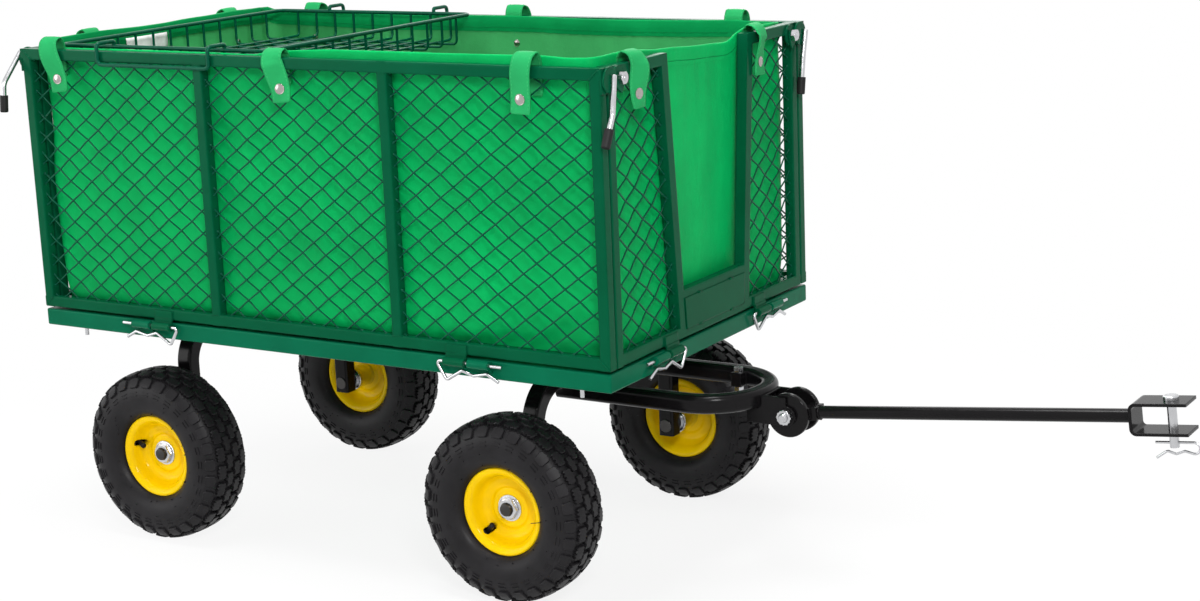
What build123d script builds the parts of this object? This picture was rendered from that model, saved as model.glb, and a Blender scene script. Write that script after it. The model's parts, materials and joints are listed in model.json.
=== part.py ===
from build123d import *
import math
import os

# Garden hand wagon. Millimetres, +X towards the drawbar, +Z up, ground at Z = 0.
# Everything is modelled about the middle of the bed and moved to the origin at the end.

# Fits and gaps
FIT = 0.05              # radial clearance of pins and shafts in their holes
RUN_GAP = 0.3           # gap between faces that turn or slide past each other
CLOTH_GAP = 0.3         # gap between cloth and what it hangs on

# Wheels
TYRE_D = 260.0
TYRE_WIDTH = 85.0
TYRE_WALL = 6.0
BEAD_WIDTH = 10.0
RIM_D = 122.0           # over the flanges
RIM_WIDTH = 54.0
SEAT_D = 101.6          # where the beads sit
RIM_SHEET = 2.0
DISH_ROUND = 8.0
LIP_ROUND = 3.0
HUB_D = 37.0
HUB_OVERHANG = 7.0      # hub end outside the wheel's middle plane
BEARING_D = 30.0
BEARING_WIDTH = 12.0
HUB_BOSS_D = 60.0       # raised ring pressed into the rim disc
HUB_BOSS_RISE = 3.0
TUBE_WALL = 2.0
TUBE_UP = 14.0          # tube's foot over the bead seat
TUBE_DROP = 4.0         # tube's crown under the tyre's
TUBE_GAP = 6.5          # tube's sides inside the tyre's
TUBE_ROUND = 22.0
VALVE_D = 8.0
VALVE_BORE_D = 3.0
VALVE_ROOT = 4.0        # stem's start inside the tube
VALVE_DOWN = 16.0       # stem's end below the bead seat
VALVE_LEAN = 15.0       # stem's end outside the middle plane
VALVE_HOLE_D = 12.0
VALVE_TURN = {"rear": 166.0, "front": 226.0}   # right wheels, degrees from +X towards +Z

# Axles
TRACK = 496.0
WHEELBASE = 624.0
AXLE_D = 16.0
AXLE_HEAD_D = 20.0
AXLE_HEAD = 1.5
AXLE_END_D = 12.0       # thread outside the hub
AXLE_NUT_AF = 18.0
AXLE_NUT = 9.0
AXLE_TIP = 2.0
WASHER = 3.0
WASHER_D = 28.0
BOW_TUBE = 25.0
BOW_WALL = 2.5
BOW_BEND = 55.0
LEG_BELOW_AXLE = 16.0
TYRE_LEG_GAP = 5.5

# Bed
BED_LENGTH = 1000.0
BED_WIDTH = 570.0
BED_CLEARANCE = 189.0   # from the axle line up to the rail's underside
RAIL_HEIGHT = 25.0
RAIL_FLANGE = 30.0
RAIL_SHEET = 2.0
RAIL_ROUND = 2.5
CROSS_WIDTH = 60.0
DECK = 3.0
DECK_PITCH = (80.0, 50.0)
DECK_STRAND = 4.0
CORNER_BOLT_D = 6.0
CORNER_BOLT_IN = (58.0, 22.0)   # from the bed's end and side
CORNER_BOLT_DROP = 16.0
CORNER_BOLT_HEAD = 5.0
BOW_BOLT_D = 10.0
BOW_BOLT_AT = 90.0      # from the middle
BOW_BOLT_HEAD = 7.0

# Turntable
KINGPIN_D = 16.0
KINGPIN_HEAD_D = 28.0
KINGPIN_HEAD = 8.0
KINGPIN_NUT = 10.0
KINGPIN_TIP = 4.0
BOLSTER_HEIGHT = 27.0
BOLSTER_PLATE_D = 130.0
BOLSTER_PLATE = 6.0
BOLSTER_BOSS_D = 70.0

# Panels
PANEL_GAP = 4.0         # over the rail
PANEL_HEIGHT = 390.0
PANEL_TUBE = 16.0
PANEL_WALL = 1.5
PANEL_ROUND = 2.0
CORNER_GAP = 3.0        # between side and end panels
BAY_POST_AT = 161.0     # side panel's inner posts, from the middle
OPENING_TOP = 114.0     # half width of the end panels' open middle
OPENING_FOOT = 84.0
OPENING_SILL = 50.0     # sill's top over the bottom rail
PLATE = 1.5
PLATE_LAP = 5.0
MESH = 2.0
MESH_PITCH = (42.0, 31.0)
MESH_STRAND = 2.2
MESH_EDGE = 2.0

# Hinges
PIN_D = 4.5
SLEEVE_D = 12.0
SLEEVE_LENGTH = 33.0
SLEEVE_GAP = 6.0
HINGE_OUT = 7.0         # axis outside the rail's face
HINGE_BELOW = 5.0       # axis below the rail's top
SIDE_HINGE_AT = 280.0
END_HINGE_AT = 148.0
LEAF = 2.5
LEAF_RISE = 14.0        # leaf up the panel's bottom tube
LEAF_DROP = 11.0        # leaf down the rail's face
CLIP_INNER = -50.0      # along the hinge, from its middle
CLIP_OUTER = 56.0
CLIP_WAVE = ((-34.0, -26.0), (-8.0, -10.5), (10.0, -16.0), (32.0, -11.5), (50.0, -21.0))
CLIP_BEND = 4.0

# Corner latches
CATCH_D = 30.0          # round ear on the end panel
EAR = 3.0
CATCH_IN = 23.0         # catch bolt from the end panel's edge
CATCH_BELOW = 16.0      # catch bolt below the panel's top
CATCH_BOLT_D = 8.0
CATCH_HEAD_AF = 13.0
CATCH_HEAD = 5.5
CAM_ARM = 25.0          # from the cam's pivot to the catch bolt
CAM_D = 34.0
CAM = 3.0
CAM_STUD_D = 10.0
CAM_JAW = 4.7
CAM_SLOT_GAP = 0.3
LEVER_D = 8.0
LEVER_SINK = 1.0        # welded into the cam's face
LEVER_BEND = 20.0
# Each lever's top, bend and end: how far out of the wagon's side and over the pivot
LEVER_SHAPES = {
    "front_right": ((-3.0, 6.0), (4.0, -43.0), (23.0, -81.0)),
    "front_left": ((10.0, 4.0), (0.0, -34.0), (-9.0, -86.0)),
    "rear_right": ((10.0, 10.0), (49.0, -32.0), (53.0, -72.0)),
    "rear_left": ((10.0, 10.0), (49.0, -32.0), (53.0, -72.0)),
}
GRIP_D = 12.0
GRIP_LENGTH = 25.0

# Drawbar
LOOP_TUBE = 26.0
LOOP_WALL = 2.5
LOOP_ROUND = 8.0
LOOP_HALF = 81.0        # tube's middle line from the centre
LOOP_NOSE = 259.0       # nose's middle line ahead of the kingpin
LOOP_TAIL = 22.0        # arms' ends behind the kingpin
FORK_GAP = 44.0
FORK_PLATE = 4.0
FORK_HEIGHT = 40.0
PIVOT_AHEAD = 306.0     # pivot bolt ahead of the kingpin
PIVOT_DROP = 33.0       # pivot below the loop's top
PIVOT_D = 12.0
PIVOT_HEAD_AF = 19.0
PIVOT_HEAD = 7.0
CHEEK_D = 62.0
CHEEK = 8.0
ROD_D = 18.0
ROD_WALL = 2.5
ROD_START = 40.0        # from the pivot
ROD_LENGTH = 438.0
DRAWBAR_PITCH = 6.0     # degrees up, as photographed
CLEVIS_WIDTH = 44.0
CLEVIS_HEIGHT = 42.0
CLEVIS_LENGTH = 74.0
CLEVIS_PLATE = 4.0
CLEVIS_ROUND = 9.0
HITCH_PIN_D = 12.0
HITCH_HEAD_D = 20.0
HITCH_HEAD = 6.0
HITCH_PIN_BACK = 25.0   # from the clevis tips
HITCH_PIN_BELOW = 19.0  # below the clevis
HITCH_HOLE_UP = 6.0     # clip hole over the pin's end
HITCH_CLIP_D = 3.5
HITCH_CLIP_LEG = (-24.0, 32.0)
HITCH_CLIP_WAVE = ((32.0, -17.0), (12.0, -11.0), (1.0, -15.0), (-10.0, -11.0), (-24.0, -20.0))
HITCH_CLIP_BENDS = (7.5, 7.5, 4.0, 4.0, 4.0)
STOP_LUG = (16.0, 18.0, 20.0)
STOP_AT = 190.0         # lug on the loop's far arm, ahead of the kingpin
STOP_BOLT_D = 8.0

# Liner and tray
LINER = 1.5
LINER_GAP = 5.0         # between liner and side panels
LINER_END_GAP = 4.0     # between liner and end panels
STRAP_WIDTH = 30.0
STRAP = 2.0
STRAP_DROP = 58.0
STRAP_INSIDE = 50.0
SNAP_D = 15.0
SNAP = 3.0
SNAP_DROP = 39.0
SIDE_STRAP_AT = (-410.0, 0.0, 410.0)
END_STRAP_AT = (-178.0, 178.0)
TRAY_LENGTH = 392.0
TRAY_FRONT = -61.0      # front rim's outer face
TRAY_IN = 14.0          # between the tray's rim and the side panels
TRAY_DEPTH = 50.0
TRAY_RIM = 6.0
TRAY_WIRE = 4.0
TRAY_PITCH = 38.0
HOOK_AT = (-345.0, -135.0)
HOOK_DROP = 22.0

# Heights and places that follow from the sizes above
axle_z = TYRE_D / 2
rear_x = -WHEELBASE / 2
front_x = WHEELBASE / 2
wheel_y = TRACK / 2
rail_low = axle_z + BED_CLEARANCE
rail_top = rail_low + RAIL_HEIGHT
half_l = BED_LENGTH / 2
half_w = BED_WIDTH / 2
deck_top = rail_top - RAIL_SHEET
panel_low = rail_top + PANEL_GAP
panel_top = panel_low + PANEL_HEIGHT
side_in = half_w - PANEL_TUBE
end_half = side_in - CORNER_GAP
end_in = half_l - PANEL_TUBE
hinge_z = rail_top - HINGE_BELOW
leg_out = wheel_y - TYRE_WIDTH / 2 - TYRE_LEG_GAP
leg_mid = leg_out - BOW_TUBE / 2
hub_in = leg_out + WASHER + RUN_GAP
hub_out = wheel_y + HUB_OVERHANG
bow_top = rail_low
front_bow_top = rail_low - BOLSTER_HEIGHT
loop_top = front_bow_top - BOW_TUBE
loop_z = loop_top - LOOP_TUBE / 2
nose_x = front_x + LOOP_NOSE
pivot_x = front_x + PIVOT_AHEAD
pivot_z = loop_top - PIVOT_DROP
catch_y = end_half - CATCH_IN
latch_z = panel_top - CATCH_BELOW
cam_y = catch_y + CAM_ARM
liner_x = end_in - LINER_END_GAP
liner_y = side_in - LINER_GAP
liner_low = rail_top + CLOTH_GAP


def block(x0, x1, y0, y1, z0, z1):
    """Box between two corners."""
    middle = Pos((x0 + x1) / 2, (y0 + y1) / 2, (z0 + z1) / 2)
    return middle * Box(x1 - x0, y1 - y0, z1 - z0)


def bar(start, end, diameter):
    """Round bar between two points."""
    run = Vector(*end) - Vector(*start)
    return Solid.make_cylinder(diameter / 2, run.length, Plane(origin=start, z_dir=run))


def hexagon(start, end, across_flats):
    """Hexagonal prism between two points."""
    run = Vector(*end) - Vector(*start)
    outline = RegularPolygon(across_flats / 2, 6, major_radius=False)
    return extrude(Plane(origin=start, z_dir=run) * outline, run.length)


def fuse(solids):
    """All solids as one."""
    first, *others = solids
    return first.fuse(*others).clean() if others else first


def box_tube(start, end, size, wall, rounding):
    """Square tube along an axis: the rounded outside and the hollow inside."""
    run = Vector(*end) - Vector(*start)
    plane = Plane(origin=start, z_dir=run)
    outside = extrude(plane * RectangleRounded(size, size, rounding), run.length)
    hollow = size - 2 * wall
    inner = Plane(origin=Vector(*start) + run.normalized() * wall, z_dir=run)
    inside = extrude(inner * Rectangle(hollow, hollow), run.length - 2 * wall)
    return outside, inside


def wire_form(points, diameter, bends):
    """Bent round wire along points."""
    path = FilletPolyline(*points, radius=bends)
    return sweep(Plane(origin=path @ 0, z_dir=path % 0) * Circle(diameter / 2), path=path)


def clip_polygon(polygon, window):
    """The part of a polygon inside a convex window given anticlockwise."""
    for i in range(len(window)):
        (ax, ay), (bx, by) = window[i], window[(i + 1) % len(window)]
        kept = []
        for j in range(len(polygon)):
            p, q = polygon[j], polygon[(j + 1) % len(polygon)]
            p_in = (bx - ax) * (p[1] - ay) - (by - ay) * (p[0] - ax)
            q_in = (bx - ax) * (q[1] - ay) - (by - ay) * (q[0] - ax)
            if p_in >= 0:
                kept.append(p)
            if (p_in >= 0) != (q_in >= 0):
                t = p_in / (p_in - q_in)
                kept.append((p[0] + t * (q[0] - p[0]), p[1] + t * (q[1] - p[1])))
        polygon = kept
        if not polygon:
            break
    return polygon


def polygon_area(polygon):
    """Area of a polygon, and nothing for fewer than three corners."""
    pairs = zip(polygon, polygon[1:] + polygon[:1])
    return abs(sum(p[0] * q[1] - q[0] * p[1] for p, q in pairs)) / 2


def inset(outline, edge):
    """A convex anticlockwise outline moved in by an edge width."""
    lines = []
    for i in range(len(outline)):
        (ax, ay), (bx, by) = outline[i], outline[(i + 1) % len(outline)]
        length = math.hypot(bx - ax, by - ay)
        nx, ny = -(by - ay) / length, (bx - ax) / length
        lines.append((ax + nx * edge, ay + ny * edge, bx - ax, by - ay))
    corners = []
    for i in range(len(lines)):
        x1, y1, u1, v1 = lines[i - 1]
        x2, y2, u2, v2 = lines[i]
        t = ((x2 - x1) * v2 - (y2 - y1) * u2) / (u1 * v2 - v1 * u2)
        corners.append((x1 + t * u1, y1 + t * v1))
    return corners


def net(outline, pitch, strand, edge, thickness, plane):
    """Diamond mesh filling an outline, as one holed face made thick both ways from a plane."""
    window = inset(outline, edge)
    middle_u = (min(p[0] for p in outline) + max(p[0] for p in outline)) / 2
    middle_v = (min(p[1] for p in outline) + max(p[1] for p in outline)) / 2
    reach_u = (max(p[0] for p in outline) - middle_u) / pitch[0]
    reach_v = (max(p[1] for p in outline) - middle_v) / pitch[1]
    slope = math.hypot(pitch[0], pitch[1])
    half_u = pitch[0] / 2 - strand * slope / pitch[1] / 2
    half_v = pitch[1] / 2 - strand * slope / pitch[0] / 2
    smallest_gap = half_u * half_v / 8
    gaps = []
    for row in range(-2 * math.ceil(reach_v) - 1, 2 * math.ceil(reach_v) + 2):
        for column in range(-math.ceil(reach_u) - 1, math.ceil(reach_u) + 2):
            u = middle_u + (column + 0.5 * (row % 2)) * pitch[0]
            v = middle_v + 0.5 * row * pitch[1]
            diamond = [(u + half_u, v), (u, v + half_v), (u - half_u, v), (u, v - half_v)]
            gap = clip_polygon(diamond, window)
            if polygon_area(gap) > smallest_gap:
                gaps.append(gap)
    rim = Wire.make_polygon([plane.from_local_coords((*p, 0)) for p in outline])
    holes = [Wire.make_polygon([plane.from_local_coords((*p, 0)) for p in gap]) for gap in gaps]
    return extrude(Face(rim, holes), thickness / 2, plane.z_dir, both=True)


def grid_plate(u0, u1, v0, v1, pitch, wire, thickness, plane):
    """Square wire grid as one holed face made thick both ways from a plane."""
    columns = max(1, round((u1 - u0) / pitch))
    rows = max(1, round((v1 - v0) / pitch))
    step_u = (u1 - u0 - wire) / columns
    step_v = (v1 - v0 - wire) / rows
    holes = []
    for i in range(columns):
        for j in range(rows):
            a, b = u0 + wire + i * step_u, u0 + (i + 1) * step_u
            c, d = v0 + wire + j * step_v, v0 + (j + 1) * step_v
            corners = ((a, c), (b, c), (b, d), (a, d))
            holes.append(Wire.make_polygon([plane.from_local_coords((*p, 0)) for p in corners]))
    corners = ((u0, v0), (u1, v0), (u1, v1), (u0, v1))
    rim = Wire.make_polygon([plane.from_local_coords((*p, 0)) for p in corners])
    return extrude(Face(rim, holes), thickness / 2, plane.z_dir, both=True)


def both_sides(shape):
    """A right-hand shape and its left-hand mirror image."""
    return [shape, mirror(shape, Plane.XZ)]


def both_ends(shape):
    """A front shape and its rear mirror image."""
    return [shape, mirror(shape, Plane.YZ)]


# Wheel, about its own axis along Y, with +Y outwards


def revolved(outline):
    """Ring from a closed (radius, y) outline."""
    face = Face(Wire(outline)) if isinstance(outline, list) else outline
    return revolve(face, Axis.Y)


def make_tyre():
    seat = SEAT_D / 2 + RUN_GAP
    lip = RIM_D / 2 + 1.0
    bead = RIM_WIDTH / 2 - RIM_SHEET - RUN_GAP
    crown = TYRE_D / 2
    half = TYRE_WIDTH / 2
    shoulder_r, shoulder_y = crown - 6.0, half - 9.0
    cheek_r = (lip + shoulder_r) / 2
    wall = TYRE_WALL
    toe = bead - BEAD_WIDTH
    outside = [
        Line((seat, bead), (lip, bead)),
        ThreePointArc((lip, bead), (cheek_r, half), (shoulder_r, shoulder_y)),
        ThreePointArc((shoulder_r, shoulder_y), (crown, 0), (shoulder_r, -shoulder_y)),
        ThreePointArc((shoulder_r, -shoulder_y), (cheek_r, -half), (lip, -bead)),
        Line((lip, -bead), (seat, -bead)),
        Line((seat, -bead), (seat, -toe)),
        Line((seat, -toe), (lip, -toe)),
        ThreePointArc((lip, -toe), (cheek_r, -half + wall), (shoulder_r - wall, -shoulder_y + wall / 2)),
        ThreePointArc(
            (shoulder_r - wall, -shoulder_y + wall / 2),
            (crown - wall, 0),
            (shoulder_r - wall, shoulder_y - wall / 2),
        ),
        ThreePointArc((shoulder_r - wall, shoulder_y - wall / 2), (cheek_r, half - wall), (lip, toe)),
        Line((lip, toe), (seat, toe)),
        Line((seat, toe), (seat, bead)),
    ]
    return revolved([edge.edge() for edge in outside])


def valve_axis():
    """The valve stem's ends as (radius, y)."""
    return (SEAT_D / 2 + TUBE_UP + VALVE_ROOT, 0.0), (SEAT_D / 2 - VALVE_DOWN, VALVE_LEAN)


def valve_bar(diameter, turn):
    """Round bar along the valve's axis."""
    ends = []
    for radius, y in valve_axis():
        ends.append((radius * math.cos(turn), y, radius * math.sin(turn)))
    return bar(ends[0], ends[1], diameter)


def make_inner_tube(turn):
    top = TYRE_D / 2 - TYRE_WALL - TUBE_DROP
    foot = SEAT_D / 2 + TUBE_UP
    middle, rise = (top + foot) / 2, top - foot
    width = TYRE_WIDTH - 2 * TYRE_WALL - 2 * TUBE_GAP
    thick = 2 * TUBE_WALL
    ring = Pos(middle, 0) * RectangleRounded(rise, width, TUBE_ROUND)
    hollow = Pos(middle, 0) * RectangleRounded(rise - thick, width - thick, TUBE_ROUND - TUBE_WALL)
    tube = fuse([revolve(ring, Axis.Y), valve_bar(VALVE_D, turn)])
    return tube - revolve(hollow, Axis.Y) - valve_bar(VALVE_BORE_D, turn)


def make_rim(turn):
    seat = SEAT_D / 2
    well = seat - RIM_SHEET
    edge = RIM_WIDTH / 2
    lip = RIM_D / 2
    bore = HUB_D / 2 + FIT
    boss = HUB_BOSS_D / 2
    rise = RIM_SHEET + HUB_BOSS_RISE
    foot = boss + 2 * HUB_BOSS_RISE
    half = [(bore, rise), (boss, rise), (foot, RIM_SHEET), (well, RIM_SHEET), (well, edge), (lip, edge)]
    half += [(lip, edge - RIM_SHEET), (seat, edge - RIM_SHEET)]
    outline = half + [(r, -y) for r, y in reversed(half)]
    face = make_face(Polyline(*outline, close=True))
    dish = [v for v in face.vertices() if abs(v.X - well) < 1e-6 and abs(abs(v.Y) - RIM_SHEET) < 1e-6]
    face = fillet(dish, DISH_ROUND)
    mouth = [v for v in face.vertices() if abs(v.X - well) < 1e-6 and abs(abs(v.Y) - edge) < 1e-6]
    face = fillet(mouth, LIP_ROUND)
    return revolve(face, Axis.Y) - valve_bar(VALVE_HOLE_D, turn)


def make_hub():
    """Hub sleeve and its two bearings, from the axle leg's washer to the outer nut."""
    inner_end = hub_in - wheel_y
    outer_end = hub_out - wheel_y
    sleeve = bar((0, inner_end, 0), (0, outer_end, 0), HUB_D)
    sleeve -= bar((0, inner_end, 0), (0, outer_end, 0), BEARING_D + 2 * FIT)
    pieces = [sleeve]
    for start in (inner_end, outer_end - BEARING_WIDTH):
        ring = bar((0, start, 0), (0, start + BEARING_WIDTH, 0), BEARING_D)
        pieces.append(ring - bar((0, start, 0), (0, start + BEARING_WIDTH, 0), AXLE_D + 2 * FIT))
    return pieces


# Axle bows and their bolts


def make_bow(x, top, bolt_hole, bolt_places):
    """Bent square tube carrying two wheels, with holes for the stub axles and the fixing bolts."""
    middle_z = top - BOW_TUBE / 2
    low = axle_z - LEG_BELOW_AXLE
    points = [(x, -leg_mid, low), (x, -leg_mid, middle_z), (x, leg_mid, middle_z), (x, leg_mid, low)]
    path = FilletPolyline(*points, radius=BOW_BEND)
    start = Plane(origin=points[0], x_dir=(1, 0, 0), z_dir=(0, 0, 1))
    outside = sweep(start * RectangleRounded(BOW_TUBE, BOW_TUBE, 2 * RAIL_SHEET), path=path)
    hollow = BOW_TUBE - 2 * BOW_WALL
    bow = outside - sweep(start * Rectangle(hollow, hollow), path=path)
    bow -= bar((x, -wheel_y, axle_z), (x, wheel_y, axle_z), AXLE_D + 2 * FIT)
    for y in bolt_places:
        bow -= bar((x, y, top - 2 * BOW_TUBE), (x, y, top + BOW_TUBE), bolt_hole + 2 * FIT)
    return bow


def make_axle_bolts(x):
    """Stub axle with a thinner threaded end, washer and nut on each side."""
    leg_in = leg_out - BOW_TUBE
    nut_in = hub_out + RUN_GAP
    nut_out = nut_in + AXLE_NUT
    bolt = bar((x, leg_in - AXLE_HEAD, axle_z), (x, leg_in, axle_z), AXLE_HEAD_D)
    shank = bar((x, leg_in, axle_z), (x, nut_in, axle_z), AXLE_D)
    thread = bar((x, nut_in, axle_z), (x, nut_out + AXLE_TIP, axle_z), AXLE_END_D)
    bolt = fuse([bolt, shank, thread])
    hole = bar((x, leg_out, axle_z), (x, leg_out + WASHER, axle_z), AXLE_D + 2 * FIT)
    washer = bar((x, leg_out, axle_z), (x, leg_out + WASHER, axle_z), WASHER_D) - hole
    tapped = bar((x, nut_in, axle_z), (x, nut_out, axle_z), AXLE_END_D + 2 * FIT)
    nut = hexagon((x, nut_in, axle_z), (x, nut_out, axle_z), AXLE_NUT_AF) - tapped
    left = [bolt, washer, nut]
    return left + [mirror(piece, Plane.XZ) for piece in left]


# Bed


def make_bed_frame():
    """Channel rails all round with open-topped cross members, as one weldment."""
    rails = Pos(0, 0, (rail_low + rail_top) / 2) * Box(BED_LENGTH, BED_WIDTH, RAIL_HEIGHT)
    rails = fillet(rails.edges(), RAIL_ROUND)
    clear_x, clear_y = half_l - RAIL_FLANGE, half_w - RAIL_FLANGE
    rails -= block(-clear_x, clear_x, -clear_y, clear_y, rail_low, rail_top)
    web_x, web_y = half_l - RAIL_SHEET, half_w - RAIL_SHEET
    rails -= block(-web_x, web_x, -web_y, web_y, rail_low + RAIL_SHEET, deck_top)
    deck_low = deck_top - DECK
    members = []
    for x in (rear_x, 0.0, front_x):
        near, far = x - CROSS_WIDTH / 2, x + CROSS_WIDTH / 2
        member = block(near, far, -web_y, web_y, rail_low, deck_low)
        member -= block(near + RAIL_SHEET, far - RAIL_SHEET, -web_y, web_y, rail_low + RAIL_SHEET, deck_low)
        members.append(member)
    frame = fuse([rails, *members])
    for x, y in corner_bolt_places():
        frame -= bar((x, y, rail_low - 1), (x, y, rail_low + RAIL_SHEET + 1), CORNER_BOLT_D + 2 * FIT)
    for y in (-BOW_BOLT_AT, BOW_BOLT_AT):
        frame -= bar((rear_x, y, rail_low - 1), (rear_x, y, deck_low), BOW_BOLT_D + 2 * FIT)
    frame -= bar((front_x, 0, rail_low - 1), (front_x, 0, deck_low), KINGPIN_D + 2 * FIT)
    return frame


def corner_bolt_places():
    """Bolts through the rails' lower flanges near the corners."""
    x, y = half_l - CORNER_BOLT_IN[0], half_w - CORNER_BOLT_IN[1]
    return [(x, -y), (x, y), (-x, -y), (-x, y)]


def make_deck():
    """Expanded-metal deck under the rails' top flanges."""
    x, y = half_l - RAIL_SHEET - FIT, half_w - RAIL_SHEET - FIT
    outline = [(-x, -y), (x, -y), (x, y), (-x, y)]
    plane = Plane(origin=(0, 0, deck_top - DECK / 2))
    return net(outline, DECK_PITCH, DECK_STRAND, RAIL_FLANGE / 2, DECK, plane)


def make_bed_bolts():
    """Corner bolts, and the bolts with nuts that hold the rear bow."""
    bolts = []
    seat = rail_low + RAIL_SHEET
    for x, y in corner_bolt_places():
        head = hexagon((x, y, seat), (x, y, seat + CORNER_BOLT_HEAD), 1.6 * CORNER_BOLT_D)
        bolts.append(fuse([head, bar((x, y, rail_low - CORNER_BOLT_DROP), (x, y, seat), CORNER_BOLT_D)]))
    bow_low = bow_top - BOW_TUBE
    for y in (-BOW_BOLT_AT, BOW_BOLT_AT):
        head = hexagon((rear_x, y, seat), (rear_x, y, seat + BOW_BOLT_HEAD), 1.7 * BOW_BOLT_D)
        tip = bow_low - BOW_BOLT_HEAD - AXLE_TIP
        bolts.append(fuse([head, bar((rear_x, y, tip), (rear_x, y, seat), BOW_BOLT_D)]))
        nut = hexagon((rear_x, y, bow_low - BOW_BOLT_HEAD), (rear_x, y, bow_low), 1.7 * BOW_BOLT_D)
        bolts.append(nut - bar((rear_x, y, tip), (rear_x, y, bow_low), BOW_BOLT_D + 2 * FIT))
    return bolts


def make_bolster():
    """Turntable boss under the bed, on which the front bow turns."""
    low = front_bow_top + RUN_GAP
    plate = bar((front_x, 0, rail_low - BOLSTER_PLATE), (front_x, 0, rail_low), BOLSTER_PLATE_D)
    boss = bar((front_x, 0, low), (front_x, 0, rail_low - BOLSTER_PLATE), BOLSTER_BOSS_D)
    return fuse([plate, boss]) - bar((front_x, 0, low), (front_x, 0, rail_low), KINGPIN_D + 2 * FIT)


def make_kingpin():
    """Kingpin bolt and its nut under the front bow."""
    seat = rail_low + RAIL_SHEET
    nut_top = front_bow_top - BOW_TUBE - RUN_GAP
    tip = nut_top - KINGPIN_NUT - KINGPIN_TIP
    head = bar((front_x, 0, seat), (front_x, 0, seat + KINGPIN_HEAD), KINGPIN_HEAD_D)
    bolt = fuse([head, bar((front_x, 0, tip), (front_x, 0, seat), KINGPIN_D)])
    nut = hexagon((front_x, 0, nut_top - KINGPIN_NUT), (front_x, 0, nut_top), 1.5 * KINGPIN_D)
    return [bolt, nut - bar((front_x, 0, tip), (front_x, 0, nut_top), KINGPIN_D + 2 * FIT)]


# Hinges, made with the hinge line along X, the panel's face on Y = 0 and outwards along -Y


def sleeve(start, end):
    """Rolled sleeve on the hinge line."""
    return bar((start, -HINGE_OUT, 0), (end, -HINGE_OUT, 0), SLEEVE_D)


def sleeve_bore(start, end):
    """Hole for the hinge pin."""
    return bar((start, -HINGE_OUT, 0), (end, -HINGE_OUT, 0), PIN_D + 2 * FIT)


def bed_hinge_half():
    """Sleeve and leaf welded to the rail, on the outer half of the hinge."""
    start, end = SLEEVE_GAP / 2, SLEEVE_GAP / 2 + SLEEVE_LENGTH
    leaf = block(start, end, -LEAF, 0, -LEAF_DROP, SLEEVE_D / 4)
    return fuse([leaf, sleeve(start, end)]) - sleeve_bore(start, end)


def panel_hinge_half():
    """Sleeve and leaf welded to the panel, on the inner half of the hinge."""
    start, end = -SLEEVE_GAP / 2 - SLEEVE_LENGTH, -SLEEVE_GAP / 2
    foot = HINGE_BELOW + PANEL_GAP
    stand_off = 1.5
    leaf = block(start, end, -LEAF, 0, foot, foot + LEAF_RISE)
    web = block(start, end, -LEAF - stand_off, -stand_off, 0, foot + LEAF)
    return fuse([leaf, web, sleeve(start, end)]) - sleeve_bore(start, end)


def hinge_clip():
    """Spring clip whose straight leg is the hinge pin."""
    points = [(CLIP_OUTER, -HINGE_OUT, 0), (CLIP_INNER, -HINGE_OUT, 0)]
    points += [(u, -HINGE_OUT, z) for u, z in CLIP_WAVE]
    return wire_form(points, PIN_D, CLIP_BEND)


def on_sides(shape):
    """A hinge piece at the four side hinges: right front, right rear, left front, left rear."""
    right_front = Pos(SIDE_HINGE_AT, -half_w, hinge_z) * shape
    return [piece for end in both_ends(right_front) for piece in both_sides(end)]


def on_ends(shape):
    """A hinge piece at the four end hinges: front left, front right, rear left, rear right."""
    front_left = Pos(half_l, END_HINGE_AT, hinge_z) * Rot(0, 0, 90) * shape
    return [piece for side in both_sides(front_left) for piece in both_ends(side)]


# Panels


def tube_weldment(tubes, extras):
    """Tubes and solid extras as one hollow weldment."""
    outside = fuse([outer for outer, inner in tubes] + extras)
    return outside - fuse([inner for outer, inner in tubes])


def straight(start, end):
    """Panel tube between two points of its middle line."""
    return box_tube(start, end, PANEL_TUBE, PANEL_WALL, PANEL_ROUND)


def make_side_panel():
    """Right side panel's frame with hinge halves and latch brackets."""
    mid = PANEL_TUBE / 2
    y = -half_w + mid
    low, high = panel_low + mid, panel_top - mid
    tubes = [straight((-half_l, y, z), (half_l, y, z)) for z in (low, high)]
    for x in (-half_l + mid, -BAY_POST_AT, BAY_POST_AT, half_l - mid):
        tubes.append(straight((x, y, panel_low), (x, y, panel_top)))
    front_hinge = Pos(SIDE_HINGE_AT, -half_w, hinge_z) * panel_hinge_half()
    front_ear = latch_bracket()
    extras = both_ends(front_hinge) + both_ends(front_ear)
    return tube_weldment(tubes, extras)


def latch_bracket():
    """Bracket and pivot stud on the front end of the right side panel."""
    outer = half_l + EAR
    plate = block(half_l, outer, -half_w, -cam_y + CAM_STUD_D / 2, latch_z - CAM_D / 2, panel_top)
    stud = bar((outer, -cam_y, latch_z), (outer + CAM - LEVER_SINK, -cam_y, latch_z), CAM_STUD_D)
    return fuse([plate, stud])


def make_side_nets():
    """Mesh in the right side panel's three bays."""
    mid = PANEL_TUBE / 2
    plane = Plane(origin=(0, -half_w + mid, 0), x_dir=(1, 0, 0), z_dir=(0, -1, 0))
    low, high = panel_low + PANEL_TUBE, panel_top - PANEL_TUBE
    posts = [-half_l + mid, -BAY_POST_AT, BAY_POST_AT, half_l - mid]
    nets = []
    for left, right in zip(posts, posts[1:]):
        u0, u1 = left + mid, right - mid
        outline = [(u0, low), (u1, low), (u1, high), (u0, high)]
        nets.append(net(outline, MESH_PITCH, MESH_STRAND, MESH_EDGE, MESH, plane))
    return nets


def opening_half(z):
    """Half width of the end panels' open middle at a height."""
    share = (z - panel_low - PANEL_TUBE) / (PANEL_HEIGHT - PANEL_TUBE)
    return OPENING_FOOT + (OPENING_TOP - OPENING_FOOT) * share


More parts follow.
